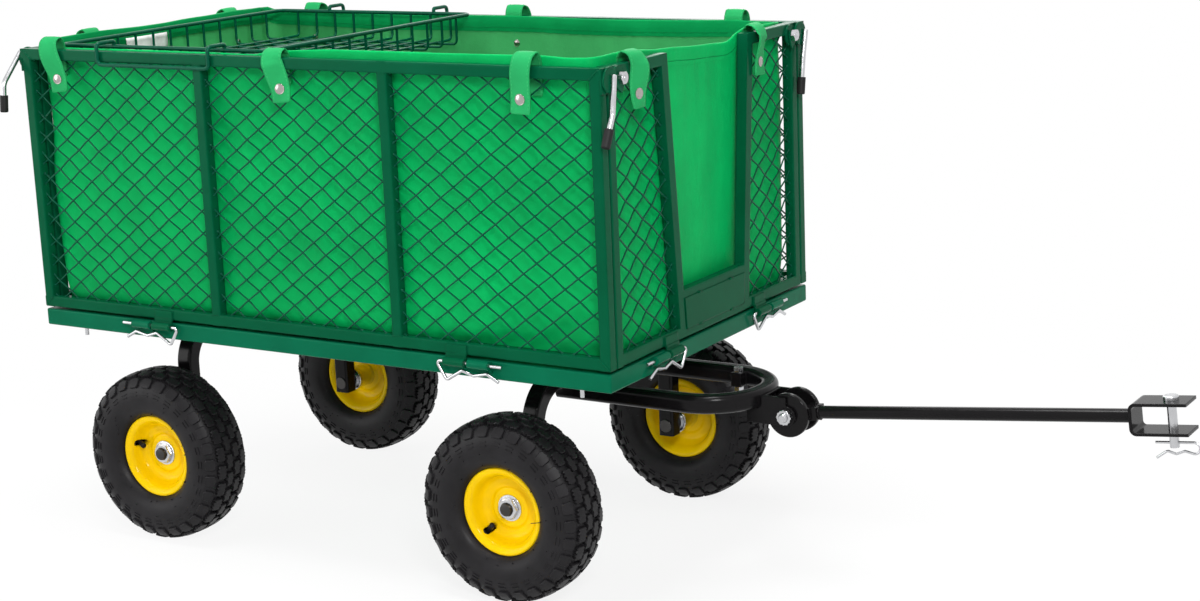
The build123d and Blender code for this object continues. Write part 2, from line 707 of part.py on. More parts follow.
def leaning_post(side):
    """Post beside the open middle, outside and hollow, leaning outwards to the top."""
    foot, head = panel_low + PANEL_TUBE / 2, panel_top
    plane = Plane(origin=(end_in, 0, 0), x_dir=(0, 1, 0), z_dir=(1, 0, 0))
    solids = []
    for wall, end in ((0.0, 0.0), (PANEL_WALL, PANEL_WALL)):
        z0, z1 = foot + end, head - end
        a, b = opening_half(z0) + wall, opening_half(z1) + wall
        width = PANEL_TUBE - 2 * wall
        corners = [(a, z0), (a + width, z0), (b + width, z1), (b, z1)]
        if side < 0:
            corners = [(-u, v) for u, v in reversed(corners)]
        face = make_face(Polyline(*[plane.from_local_coords((*c, wall)) for c in corners], close=True))
        solids.append(extrude(face, PANEL_TUBE - 2 * wall, dir=(1, 0, 0)))
    return solids[0], solids[1]


def make_end_panel():
    """Front end panel's frame with hinge halves and catch ears."""
    mid = PANEL_TUBE / 2
    x = half_l - mid
    low, high = panel_low + mid, panel_top - mid
    sill_z = panel_low + PANEL_TUBE + OPENING_SILL - mid
    sill = opening_half(sill_z) + mid
    tubes = [straight((x, -end_half, low), (x, end_half, low))]
    tubes.append(straight((x, -sill, sill_z), (x, sill, sill_z)))
    for side in (-1, 1):
        edge = side * (end_half - mid)
        inner = side * (opening_half(high) + mid)
        tubes.append(straight((x, edge, panel_low), (x, edge, panel_top)))
        tubes.append(straight((x, side * end_half, high), (x, inner, high)))
        tubes.append(leaning_post(side))
    left_hinge = Pos(half_l, END_HINGE_AT, hinge_z) * Rot(0, 0, 90) * panel_hinge_half()
    ear = bar((half_l, catch_y, latch_z), (half_l + EAR, catch_y, latch_z), CATCH_D)
    frame = tube_weldment(tubes, both_sides(left_hinge) + both_sides(ear))
    for side in (-1, 1):
        frame -= bar((end_in, side * catch_y, latch_z), (half_l + EAR, side * catch_y, latch_z),
                     CATCH_BOLT_D + 2 * FIT)
    return frame


def make_end_nets():
    """Mesh in the front end panel's two outer bays."""
    plane = Plane(origin=(half_l - PANEL_TUBE / 2, 0, 0), x_dir=(0, 1, 0), z_dir=(1, 0, 0))
    low, high = panel_low + PANEL_TUBE, panel_top - PANEL_TUBE
    a, b = opening_half(low) + PANEL_TUBE, opening_half(high) + PANEL_TUBE
    edge = end_half - PANEL_TUBE
    window = [(a, low), (edge, low), (edge, high), (b, high)]
    left = net(window, MESH_PITCH, MESH_STRAND, MESH_EDGE, MESH, plane)
    return both_sides(left)


def make_end_plate():
    """Sheet welded over the front end panel's sill."""
    low = panel_low + PANEL_TUBE - PLATE_LAP
    high = panel_low + OPENING_SILL + PLATE_LAP
    a, b = opening_half(low), opening_half(high)
    plane = Plane(origin=(half_l, 0, 0), x_dir=(0, 1, 0), z_dir=(1, 0, 0))
    corners = [(-a, low), (a, low), (b, high), (-b, high)]
    face = make_face(Polyline(*[plane.from_local_coords((*c, 0)) for c in corners], close=True))
    return extrude(face, PLATE, dir=(1, 0, 0))


def make_catch_bolts():
    """Catch bolts on the front end panel's ears, with room for the cams under their heads."""
    head_in = half_l + EAR + RUN_GAP + CAM + RUN_GAP
    head = hexagon((head_in, catch_y, latch_z), (head_in + CATCH_HEAD, catch_y, latch_z), CATCH_HEAD_AF)
    shank = bar((half_l - PANEL_WALL, catch_y, latch_z), (head_in, catch_y, latch_z), CATCH_BOLT_D)
    return both_sides(fuse([head, shank]))


# Corner latch at the right front corner


def make_latch_lever(shape):
    """Cam plate that hooks the catch bolt, with its round lever."""
    x = half_l + EAR + RUN_GAP
    plane = Plane(origin=(x, -cam_y, latch_z), x_dir=(0, 1, 0), z_dir=(1, 0, 0))
    slot = CATCH_BOLT_D / 2 + CAM_SLOT_GAP
    tip = CAM_ARM + slot + CAM_JAW
    low, high = math.radians(-36), math.radians(10)
    jaw_points = [(0, 0), (tip * math.cos(low), tip * math.sin(low))]
    arc_middle = (tip * math.cos((low + high) / 2), tip * math.sin((low + high) / 2))
    arc_end = (tip * math.cos(high), tip * math.sin(high))
    jaw = make_face([
        Line(jaw_points[0], jaw_points[1]),
        ThreePointArc(jaw_points[1], arc_middle, arc_end),
        Line(arc_end, jaw_points[0]),
    ])
    plate = extrude(plane * (Circle(CAM_D / 2) + jaw), CAM)
    open_at = math.radians(50)
    inner, outer = CAM_ARM - slot, CAM_ARM + slot
    path = [
        Line((inner, 0), (outer, 0)),
        ThreePointArc((outer, 0), polar(outer, open_at / 2), polar(outer, open_at)),
        Line(polar(outer, open_at), polar(inner, open_at)),
        ThreePointArc(polar(inner, open_at), polar(inner, open_at / 2), (inner, 0)),
    ]
    way_out = make_face(path) + Pos(CAM_ARM, 0) * Circle(slot)
    plate -= extrude(plane * way_out, CAM)
    plate -= bar((x, -cam_y, latch_z), (x + CAM, -cam_y, latch_z), CAM_STUD_D + 2 * FIT)
    return fuse([plate, wire_form(lever_points(shape), LEVER_D, LEVER_BEND)])


def polar(radius, angle):
    """Point at a radius and angle."""
    return (radius * math.cos(angle), radius * math.sin(angle))


def lever_points(shape):
    """Lever's middle line from the top down, with one bend."""
    x = half_l + EAR + RUN_GAP + CAM + LEVER_D / 2 - LEVER_SINK
    return [(x, -cam_y - out, latch_z + up) for out, up in shape]


def make_grip(shape):
    """Rubber sleeve on the lever's end."""
    bend, end = [Vector(*point) for point in lever_points(shape)[1:]]
    along = (end - bend).normalized()
    cap = LEVER_D / 4
    start = end - along * (GRIP_LENGTH - cap)
    grip = bar(tuple(start), tuple(end + along * cap), GRIP_D)
    far_edge = grip.edges().filter_by(GeomType.CIRCLE).sort_by(Axis.Z)[0]
    grip = fillet(far_edge, LEVER_D / 4)
    return grip - bar(tuple(start), tuple(end), LEVER_D + 2 * FIT)


# Drawbar


def loop_path():
    """Loop's middle line: two arms joined by a half circle."""
    arc_x = nose_x - LOOP_HALF
    tail_x = front_x - LOOP_TAIL
    right_end, left_end = (arc_x, -LOOP_HALF, loop_z), (arc_x, LOOP_HALF, loop_z)
    return Wire([
        Edge.make_line((tail_x, -LOOP_HALF, loop_z), right_end),
        Edge.make_three_point_arc(right_end, (nose_x, 0, loop_z), left_end),
        Edge.make_line(left_end, (tail_x, LOOP_HALF, loop_z)),
    ])


def loop_solid(size, rounding):
    """Solid bar of the loop's shape."""
    path = loop_path()
    start = Plane(origin=path @ 0, x_dir=(0, 1, 0), z_dir=(1, 0, 0))
    return sweep(start * RectangleRounded(size, size, rounding), path=path)


def make_loop():
    """Bent tube loop with the bolt lug inside its far arm."""
    hollow = LOOP_TUBE - 2 * LOOP_WALL
    loop = loop_solid(LOOP_TUBE, LOOP_ROUND) - loop_solid(hollow, LOOP_ROUND - LOOP_WALL)
    length, depth, height = STOP_LUG
    inner = LOOP_HALF - LOOP_TUBE / 2
    x = front_x + STOP_AT
    lug_low, lug_high = loop_z - height / 2, loop_z + height / 2
    lug = block(x - length / 2, x + length / 2, inner - depth, inner + LOOP_WALL / 2, lug_low, lug_high)
    hole = bar((x, inner - depth / 2, loop_z - height), (x, inner - depth / 2, loop_z + height),
               STOP_BOLT_D + 2 * FIT)
    return fuse([loop, lug - hole])


def make_fork():
    """Two cheeks and a bridge welded to the loop's nose."""
    tail = nose_x - LOOP_TUBE / 2
    top = pivot_z + FORK_HEIGHT * 0.65
    low = top - FORK_HEIGHT
    inner, outer = FORK_GAP / 2, FORK_GAP / 2 + FORK_PLATE
    cheek = block(tail, pivot_x, -outer, -inner, low, top)
    round_end = bar((pivot_x, -outer, pivot_z), (pivot_x, -inner, pivot_z), 2 * (pivot_z - low))
    bridge_end = pivot_x - CHEEK_D / 2 - RUN_GAP
    bridge = block(tail, bridge_end, -outer, outer, top - FORK_PLATE, top)
    cheeks = both_sides(fuse([cheek, round_end]))
    fork = fuse([*cheeks, bridge]) - loop_solid(LOOP_TUBE, LOOP_ROUND)
    fork -= bar((pivot_x, -outer, pivot_z), (pivot_x, outer, pivot_z), PIVOT_D + 2 * FIT)
    return max(fork.solids(), key=lambda solid: solid.volume)


def make_drawbar_bolts():
    """Pivot bolt and nut in the fork, and the lug's bolt with its nut."""
    face = FORK_GAP / 2 + FORK_PLATE
    start, end = -face - PIVOT_HEAD, face + PIVOT_HEAD + AXLE_TIP
    head = hexagon((pivot_x, start, pivot_z), (pivot_x, -face, pivot_z), PIVOT_HEAD_AF)
    bolt = fuse([head, bar((pivot_x, -face, pivot_z), (pivot_x, end, pivot_z), PIVOT_D)])
    nut = hexagon((pivot_x, face, pivot_z), (pivot_x, face + PIVOT_HEAD, pivot_z), PIVOT_HEAD_AF)
    nut -= bar((pivot_x, face, pivot_z), (pivot_x, end, pivot_z), PIVOT_D + 2 * FIT)
    x = front_x + STOP_AT
    y = LOOP_HALF - LOOP_TUBE / 2 - STOP_LUG[1] / 2
    top, low = loop_z + STOP_LUG[2] / 2, loop_z - STOP_LUG[2] / 2
    tip = low - PIVOT_HEAD - AXLE_TIP
    stop_head = hexagon((x, y, top), (x, y, top + PIVOT_HEAD), 1.6 * STOP_BOLT_D)
    stop = fuse([stop_head, bar((x, y, tip), (x, y, top), STOP_BOLT_D)])
    stop_nut = hexagon((x, y, low - PIVOT_HEAD), (x, y, low), 1.6 * STOP_BOLT_D)
    stop_nut -= bar((x, y, tip), (x, y, low), STOP_BOLT_D + 2 * FIT)
    return [bolt, nut, stop, stop_nut]


def pitched(shape):
    """A drawbar piece, made level from the pivot, at its photographed pitch."""
    return Pos(pivot_x, 0, pivot_z) * Rot(0, -DRAWBAR_PITCH, 0) * shape


def make_knuckle():
    """Two round cheeks on the pivot bolt, joined by a web."""
    outer = FORK_GAP / 2 - 2 * RUN_GAP
    inner = outer - CHEEK
    cheek = bar((0, -outer, 0), (0, -inner, 0), CHEEK_D)
    rim = cheek.edges().filter_by(GeomType.CIRCLE)
    cheek = fillet(rim, CHEEK / 4)
    web = block(ROD_START / 2, ROD_START, -inner, inner, -ROD_D / 2, ROD_D / 2)
    knuckle = fuse([*both_sides(cheek), web])
    return knuckle - bar((0, -outer, 0), (0, outer, 0), PIVOT_D + 2 * FIT)


def make_rod():
    """Round drawbar tube from the knuckle's web to the clevis."""
    start, end = (ROD_START, 0, 0), (ROD_START + ROD_LENGTH, 0, 0)
    return bar(start, end, ROD_D) - bar(start, end, ROD_D - 2 * ROD_WALL)


def hitch_x():
    """Hitch pin's place along the drawbar."""
    return ROD_START + ROD_LENGTH + CLEVIS_LENGTH - HITCH_PIN_BACK


def make_clevis():
    """U of flat bar with a hole for the hitch pin."""
    back = ROD_START + ROD_LENGTH
    half_width, half_height = CLEVIS_WIDTH / 2, CLEVIS_HEIGHT / 2
    body = block(back, back + CLEVIS_LENGTH, -half_width, half_width, -half_height, half_height)
    bends = body.edges().filter_by(Axis.Y).sort_by(Axis.X)[:2]
    body = fillet(bends, CLEVIS_ROUND)
    inner = half_height - CLEVIS_PLATE
    mouth = block(back + CLEVIS_PLATE, back + CLEVIS_LENGTH, -half_width, half_width, -inner, inner)
    bends = mouth.edges().filter_by(Axis.Y).sort_by(Axis.X)[:2]
    clevis = body - fillet(bends, CLEVIS_ROUND - CLEVIS_PLATE)
    return clevis - bar((hitch_x(), 0, -half_height), (hitch_x(), 0, half_height), HITCH_PIN_D + 2 * FIT)


def make_hitch_pin():
    """Headed pin through the clevis, with a cross hole for its clip."""
    top = CLEVIS_HEIGHT / 2 + FIT
    low = -CLEVIS_HEIGHT / 2 - HITCH_PIN_BELOW
    head = bar((hitch_x(), 0, top), (hitch_x(), 0, top + HITCH_HEAD), HITCH_HEAD_D)
    crown = head.edges().filter_by(GeomType.CIRCLE).sort_by(Axis.Z)[-1]
    head = fillet(crown, HITCH_HEAD / 3)
    pin = fuse([head, bar((hitch_x(), 0, low), (hitch_x(), 0, top), HITCH_PIN_D)])
    hole_z = low + HITCH_HOLE_UP
    return pin - bar((hitch_x() - HITCH_PIN_D, 0, hole_z), (hitch_x() + HITCH_PIN_D, 0, hole_z),
                     HITCH_CLIP_D + 2 * FIT)


def make_hitch_clip():
    """Spring clip through the hitch pin's cross hole."""
    z = -CLEVIS_HEIGHT / 2 - HITCH_PIN_BELOW + HITCH_HOLE_UP
    start, turn = HITCH_CLIP_LEG
    points = [(hitch_x() + start, 0, z), (hitch_x() + turn, 0, z)]
    points += [(hitch_x() + u, 0, z + v) for u, v in HITCH_CLIP_WAVE]
    return wire_form(points, HITCH_CLIP_D, HITCH_CLIP_BENDS)


# Liner and tray


def make_liner():
    """Open bag standing on the bed inside the panels."""
    top = panel_top - CLOTH_GAP
    bag = block(-liner_x, liner_x, -liner_y, liner_y, liner_low, top)
    inside_x, inside_y = liner_x - LINER, liner_y - LINER
    return bag - block(-inside_x, inside_x, -inside_y, inside_y, liner_low + LINER, top)


def strap(inner, outer):
    """Strap over a rail: made with the rail along X, outwards along -Y, for a liner face at -inner."""
    half = STRAP_WIDTH / 2
    face = outer + CLOTH_GAP
    over = panel_top + CLOTH_GAP
    tail = block(-half, half, -face - STRAP, -face, panel_top - STRAP_DROP, over + STRAP)
    top = block(-half, half, -face, -inner, over, over + STRAP)
    root = block(-half, half, -inner - STRAP, -inner, panel_top - STRAP_INSIDE, over)
    return fuse([tail, top, root])


def snap(outer):
    """Press stud cap on a strap's tail."""
    face = outer + CLOTH_GAP + STRAP
    z = panel_top - SNAP_DROP
    cap = bar((0, -face, z), (0, -face - SNAP, z), SNAP_D)
    rim = cap.edges().filter_by(GeomType.CIRCLE).sort_by(Axis.Y)[0]
    return fillet(rim, SNAP / 2)


def on_rails(side_piece, end_piece):
    """A strap piece at every strap place."""
    pieces = []
    for x in SIDE_STRAP_AT:
        pieces += both_sides(Pos(x, 0, 0) * side_piece)
    for y in END_STRAP_AT:
        pieces += both_ends(Pos(0, y, 0) * Rot(0, 0, 90) * end_piece)
    return pieces


def make_tray():
    """Wire tray: grid floor and sides, a rim, and hooks over the side rails."""
    x0, x1 = TRAY_FRONT - TRAY_LENGTH, TRAY_FRONT
    y1 = side_in - TRAY_IN
    rim_low = panel_top + CLOTH_GAP
    rim_mid = rim_low + TRAY_RIM / 2
    floor_mid = rim_mid - TRAY_DEPTH
    half = TRAY_WIRE / 2
    floor = Plane(origin=(0, 0, floor_mid))
    pieces = [grid_plate(x0, x1, -y1, y1, TRAY_PITCH, TRAY_WIRE, TRAY_WIRE, floor)]
    for y in (-y1 + half, y1 - half):
        wall = Plane(origin=(0, y, 0), x_dir=(1, 0, 0), z_dir=(0, -1, 0))
        pieces.append(grid_plate(x0, x1, floor_mid - half, rim_mid, TRAY_PITCH, TRAY_WIRE, TRAY_WIRE, wall))
    for x in (x0 + half, x1 - half):
        wall = Plane(origin=(x, 0, 0), x_dir=(0, 1, 0), z_dir=(1, 0, 0))
        pieces.append(grid_plate(-y1, y1, floor_mid - half, rim_mid, TRAY_PITCH, TRAY_WIRE, TRAY_WIRE, wall))
    rim = block(x0, x1, -y1, y1, rim_low, rim_low + TRAY_RIM)
    rim -= block(x0 + TRAY_RIM, x1 - TRAY_RIM, -y1 + TRAY_RIM, y1 - TRAY_RIM, rim_low, rim_low + TRAY_RIM)
    pieces.append(rim)
    root = -y1 + TRAY_RIM / 2
    outer = -half_w - CLOTH_GAP - TRAY_RIM / 2
    low = rim_mid - HOOK_DROP
    near, far = HOOK_AT
    points = [(near, root, rim_mid), (near, outer, rim_mid), (near, outer, low)]
    points += [(far, outer, low), (far, outer, rim_mid), (far, root, rim_mid)]
    pieces += both_sides(wire_form(points, TRAY_RIM, TRAY_RIM))
    return fuse(pieces)


# The whole wagon


def make_wheels(nodes):
    """Four wheels, each with its valve outwards."""
    tyre, hub = make_tyre(), make_hub()
    for end, x in (("front", front_x), ("rear", rear_x)):
        for side, y, turn in (("left", wheel_y, 0), ("right", -wheel_y, 180)):
            place = Pos(x, y, axle_z) * Rot(0, 0, turn)
            valve = math.radians(180 - VALVE_TURN[end])
            name = f"wheel_{end}_{side}"
            nodes[f"{name}_tyre"] = [place * tyre]
            nodes[f"{name}_inner_tube"] = [place * make_inner_tube(valve)]
            nodes[f"{name}_rim"] = [place * make_rim(valve)]
            nodes[f"{name}_hub"] = [place * piece for piece in hub]


def make_panels(nodes):
    """Side and end panels with their meshes, plates and catch bolts."""
    for side, piece in zip(("right", "left"), both_sides(make_side_panel())):
        nodes[f"panel_{side}_frame"] = [piece]
    for index, side in enumerate(("right", "left")):
        nodes[f"panel_{side}_mesh"] = [both_sides(piece)[index] for piece in make_side_nets()]
    for index, end in enumerate(("front", "rear")):
        nodes[f"panel_{end}_frame"] = [both_ends(make_end_panel())[index]]
        nodes[f"panel_{end}_mesh"] = [both_ends(piece)[index] for piece in make_end_nets()]
        nodes[f"panel_{end}_plate"] = [both_ends(make_end_plate())[index]]
        nodes[f"panel_{end}_catch_bolts"] = [both_ends(piece)[index] for piece in make_catch_bolts()]


def make_latches(nodes):
    """Four corner latches, each a lever with a grip."""
    for corner, shape in LEVER_SHAPES.items():
        for kind, piece in (("lever", make_latch_lever(shape)), ("grip", make_grip(shape))):
            if corner.startswith("rear"):
                piece = mirror(piece, Plane.YZ)
            if corner.endswith("left"):
                piece = mirror(piece, Plane.XZ)
            nodes[f"latch_{corner}_{kind}"] = [piece]


def make_wagon():
    """Every node's solids, about the middle of the bed."""
    nodes = {
        "bed_frame": [make_bed_frame()],
        "bed_deck": [make_deck()],
        "bed_hinge_sleeves": on_sides(bed_hinge_half()) + on_ends(bed_hinge_half()),
        "hinge_clips": on_sides(hinge_clip()) + on_ends(hinge_clip()),
        "bed_bolts": make_bed_bolts(),
        "rear_axle_bow": [make_bow(rear_x, bow_top, BOW_BOLT_D, (-BOW_BOLT_AT, BOW_BOLT_AT))],
        "rear_axle_bolts": make_axle_bolts(rear_x),
        "turntable_bolster": [make_bolster()],
        "kingpin": make_kingpin(),
        "front_axle_bow": [make_bow(front_x, front_bow_top, KINGPIN_D, (0.0,))],
        "front_axle_bolts": make_axle_bolts(front_x),
        "drawbar_loop": [make_loop()],
        "drawbar_fork": [make_fork()],
        "drawbar_bolts": make_drawbar_bolts(),
        "drawbar_knuckle": [pitched(make_knuckle())],
        "drawbar_rod": [pitched(make_rod())],
        "tow_clevis": [pitched(make_clevis())],
        "hitch_pin": [pitched(make_hitch_pin())],
        "hitch_clip": [pitched(make_hitch_clip())],
        "liner": [make_liner()],
        "liner_straps": on_rails(strap(liner_y, half_w), strap(liner_x, half_l)),
        "liner_snaps": on_rails(snap(half_w), snap(half_l)),
        "wire_tray": [make_tray()],
    }
    make_wheels(nodes)
    make_panels(nodes)
    make_latches(nodes)
    return nodes


def main():
    nodes = make_wagon()
    solids = [solid for pieces in nodes.values() for piece in pieces for solid in piece.solids()]
    whole = Compound(children=solids).bounding_box()
    to_origin = Pos(-(whole.min.X + whole.max.X) / 2, 0, 0)
    os.makedirs("parts", exist_ok=True)
    for name, pieces in nodes.items():
        moved = [to_origin * solid for piece in pieces for solid in piece.solids()]
        export_step(moved[0] if len(moved) == 1 else Compound(children=moved), f"parts/{name}.step")
    print("nodes", len(nodes), "size", whole.size)
    print("bed middle at x", -(whole.min.X + whole.max.X) / 2, "lowest", whole.min.Z)
    print("pivot", pivot_x, pivot_z, "hinge", hinge_z, "latch", cam_y, latch_z, "catch", catch_y)


main()
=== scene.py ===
import itertools
import json
import random
from math import ceil, copysign, cos, dist, hypot, pi, radians, sin, tan

import bmesh
import bpy
import numpy as np
from mathutils import Matrix, Vector, noise


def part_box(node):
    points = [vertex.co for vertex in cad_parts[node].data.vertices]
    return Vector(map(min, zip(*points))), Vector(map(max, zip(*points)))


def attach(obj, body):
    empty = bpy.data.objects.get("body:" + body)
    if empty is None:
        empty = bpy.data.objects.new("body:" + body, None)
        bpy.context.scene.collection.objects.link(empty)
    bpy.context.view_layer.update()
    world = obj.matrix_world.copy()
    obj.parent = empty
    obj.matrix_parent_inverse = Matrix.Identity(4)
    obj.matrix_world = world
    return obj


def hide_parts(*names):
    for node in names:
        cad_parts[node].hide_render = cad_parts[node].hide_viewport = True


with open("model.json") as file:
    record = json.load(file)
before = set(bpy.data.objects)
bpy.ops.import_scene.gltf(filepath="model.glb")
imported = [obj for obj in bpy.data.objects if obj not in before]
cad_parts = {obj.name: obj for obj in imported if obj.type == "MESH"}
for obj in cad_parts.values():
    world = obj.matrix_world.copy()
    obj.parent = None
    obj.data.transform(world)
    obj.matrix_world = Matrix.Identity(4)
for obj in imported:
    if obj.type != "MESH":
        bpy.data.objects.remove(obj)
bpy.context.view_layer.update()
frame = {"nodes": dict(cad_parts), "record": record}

MM = 0.001
TURN = 2 * pi
WHITE = (1.0, 1.0, 1.0, 1.0)
ENDS = ("front", "rear")
SIDES = ("left", "right")
OUTWARDS = {"right": (0, -1, 0), "left": (0, 1, 0), "front": (1, 0, 0), "rear": (-1, 0, 0)}

# Photograph's camera, in metres from the middle of the bed on the ground, its angles in degrees
CAMERA_AT = (1.9033, -2.5689, 1.0621)
CAMERA_AZIMUTH = -31.78
CAMERA_ELEVATION = 13
CAMERA_ROLL = -2.27
FOCAL_PIXELS = 2164
IMAGE_WIDTH = 1200
SENSOR = 36

# Lamps, from the same place: name, place, width and watts
LAMPS = (
    ("key", (2.4, -2.6, 2.4), 0.9, 80.0),
    ("fill", (-2.6, -2.6, 1.3), 2.6, 42.0),
    ("top", (0.1, -0.3, 3.4), 1.6, 92.0),
    ("back", (-1.2, 3.0, 2.2), 2.2, 24.0),
)
LAMPS_AIM = (0.15, 0, 0.4)
WORLD_LIGHT = 0.3
FLOOR_REACH = 14
FLOOR_COLOUR = (0.9, 0.9, 0.9, 1.0)
FLOOR_FADE = (0.3, 1.7, 0.86, 1.0)    # two distances from the middle, then the share of white at each

# All sizes from here on are in millimetres

# Panels: outer faces from the bed's middle, the side panels' posts, the end panels' open middle
PANEL_OUT = {"right": 285.0, "left": 285.0, "front": 500.0, "rear": 500.0}
POST_AT = 161
POST_HALF = 8
GAP_FOOT = 100
GAP_HEAD = 130

# Latches: the cam's sizes, then each lever's top, bend and end, out of the wagon's side and up
LATCH_AT = (268.0, 722.0)
CAM_ROUND = 17
CAM_ARM = 25
CAM_TIP = 34
CAM_SLOT = 4.3
CAM_THICK = 3
CAM_EDGE = 0.5
LEVER_ROUND = 4
LEVER_BEND = 20
LEVER_SHAPES = {
    "front_right": ((-3, 6), (4, -43), (23, -81)),
    "front_left": ((10, 4), (0, -34), (-9, -86)),
    "rear_right": ((10, 10), (49, -32), (53, -72)),
    "rear_left": ((10, 10), (49, -32), (53, -72)),
}

# Tyre: (out from the middle plane, radius) from the crown down to the bead
TYRE_HALF = (
    (0, 124.4), (12, 124.1), (22, 123.0), (29, 120.6), (35, 115.8), (39.6, 107.5), (42.2, 97), (42.3, 86),
    (40, 76), (35.6, 68.6), (30.8, 64.6), (28.4, 63.4), (26.4, 62.9), (24.2, 61.6), (22.4, 59.0),
    (20.6, 55.6), (18.6, 53.4), (15.0, 51.4),
)
TYRE_SEGMENTS = 162
TREAD_COUNT = 29
TREAD_HEIGHT = 5.4
SHOULDER_HEIGHT = 3.6
# Places along the section from the crown: moulded dashes, vent pins and moulding hairs
DASHES_AT = (52.0, 57.0)
DASH_SIZE = (1.5, 12.0)
DASH_HEIGHT = 1.2
VENT_AT = 86
VENT_COUNT = 10
VENT_PIN = (1.8, 0.9)    # height, radius
HAIRS_AT = (58, 88)
HAIR_COUNT = 40
HAIR_PIN = (2.2, 0.45)
LONG_HAIR = ((67, -28.5, -4), (60, -31, -5), (50, -31.5, -7))    # on the front right wheel, from its middle

# Rim: (radius, out from the middle plane) of the outer face from the hub to the rolled lip, then the seat
RIM_FACE = (
    (18.6, 5.6), (25.6, 5.6), (27.8, 4.9), (30.0, 3.2), (33.0, 2.3), (37.0, 2.4), (41.2, 3.8), (44.6, 7.0),
    (47.0, 11.6), (48.6, 16.6), (50.2, 20.6), (52.2, 23.6), (54.6, 25.7), (57.0, 27.0), (59.0, 27.5),
    (60.6, 27.3), (61.8, 26.5), (62.3, 25.5), (61.9, 24.7),
)
RIM_SEAT = [(60.6, 24.6), (58.2, 24.9), (55.4, 24.0), (53.4, 22.2), (51.8, 19.6), (50.8, 16.8)]
RIM_SEGMENTS = 128
SLOT_HALF = (5.3, 11.0)
SLOT_REACH = (0.25, 1.1)    # shares of the valve's line
SLOT_STEPS = 32

# Inner tube, and the valve as (radius, out) of its ends with (share of its line, radius) between them
TUBE_MIDDLE = 92.4
TUBE_HALF = (27.4, 29.8)
TUBE_STEPS = 24
VALVE_START = Vector((68.8, 0.0))
VALVE_END = Vector((34.8, 15.0))
VALVE_STEPS = ((0.0, 5.5), (0.35, 5.0), (0.42, 3.9), (0.62, 3.6), (0.66, 3.0), (0.7, 3.0), (0.71, 4.0),
               (0.98, 4.0), (1.0, 3.2))
VALVE_TURN = {"rear": 166.0, "front": 226.0}    # degrees

# Hub: dust ring and seal at its outer end, ring round its inner end
HUB_RINGS = (
    ((8.6, 7.02), (9.5, 7.2), (11.8, 7.2), (12.6, 7.35), (13.6, 7.35), (14.4, 7.2), (16.6, 7.2), (17.8, 6.7),
     (18.4, 5.7)),
    ((18.7, -38.0), (18.9, -43.6), (18.3, -44.7), (17.0, -45.1), (15.2, -45.0), (14.5, -44.6)),
)

# Stub axles, nuts and bolt heads
AXIS = 0.01         # radius of a turned piece's tip
TURNED_STEPS = 40
NUT_STEPS = 48
BOW_TUBE = 25
NUT_SEAT = 7.4      # outwards from the wheel's middle plane
AXLE_ROUND = 8
AXLE_END_ROUND = 9
AXLE_NUT_AF = 27
AXLE_NUT_THICK = 7
CATCH_HEAD_AF = 15.5
CATCH_HEAD_THICK = 5.4
PIVOT_NUT_AF = 19.6
PIVOT_FACE = 26   # fork plate's outer face
PIVOT_NUT_THICK = 7.5
PIVOT_ROUND = 6
THREAD_PITCH = 0.85

# Mesh wires in the panels
WIRE_PITCH = (42.0, 31.0)
WIRE_RADIUS = 1.2
WIRE_CRIMP = 1.05
WIRE_SINK = 3     # wires' ends inside the tubes
WIRE_LEAST = 4    # shorter pieces are left out
WIRE_BEAD = ((-0.5, 2.2), (1.4, 2.1), (3.4, 1.3))    # weld at a wire's end: place along it, radius

# Tray
TRAY_RIM = 3
TRAY_WIRE = 2
TRAY_HALF = 255
TRAY_COLUMNS = 10
TRAY_ROWS = 13
TRAY_FLOOR_RISE = 7
TRAY_INSET = 1.26   # wires' ends from the rim's middle line
RIM_BEND = 14
WIRE_BEND = 9
HOOKS_AT = (-345.0, -135.0)
HOOK_BEND = 8
HOOK_ARCH = 8
HOOK_DROP = 22

# Cloth
CLOTH_STEP = 11
CLOTH_CORNERS = (11.0, 24.0, 15.0, 7.0)    # front right, front left, rear left, rear right
CORNER_STEPS = 8
CLOTH_THICK = 1.1
CLOTH_FRAMES = 24
CLOTH_SETTINGS = {
    "quality": 5, "mass": 0.25, "tension_stiffness": 25, "compression_stiffness": 25, "shear_stiffness": 10,
    "bending_stiffness": 1.2, "air_damping": 2.0, "shrink_min": -0.008, "vertex_group_mass": "pins",
}
EDGE_WAVE = 1.2
CREASE = 2.6
FINE_CREASE = 1.3
FOLD = 5
TUCK = 11
TUCK_HEIGHT = 60
STILL_TOP = 25       # band under the top edge without folds
EASE_HEIGHT = 80     # and the height over which they grow
FRONT_FLAT = 0.65      # share by which the front wall is flattened
FRONT_CREASE = 0.4     # share of its creases that stays
PANEL_CLEAR = 9.5
WALLS_FROM = (440.0, 220.0)    # points further out than this, along and across, are walls
WALLS_LEAST = (450.0, 236.0)
BESIDE_TRAY = 257.5
TRAY_MARGIN = 20
TRAY_FOOT = 660
# Height of the cloth's top edge over the panels' top, at places along each wall
EDGE_RISE = {
    "right": ((-480, 6), (-455, 7), (-440, -1), (-70, -1), (-40, 4), (60, 9), (180, 8), (300, 9), (390, 10),
              (440, 7), (480, 9)),
    "left": ((-480, 2), (-250, -3), (0, -1), (200, -4), (400, -1), (480, -3)),
    "rear": ((-264, 8), (-150, 9), (0, 6), (170, 9), (264, 6)),
    "front": ((-264, 9), (-200, 9), (-149, 6), (-110, 2), (-37, -3), (50, -9), (84, -11), (98, -9),
              (112, -3), (130, 1), (150, 4), (200, 2), (264, -2)),
}
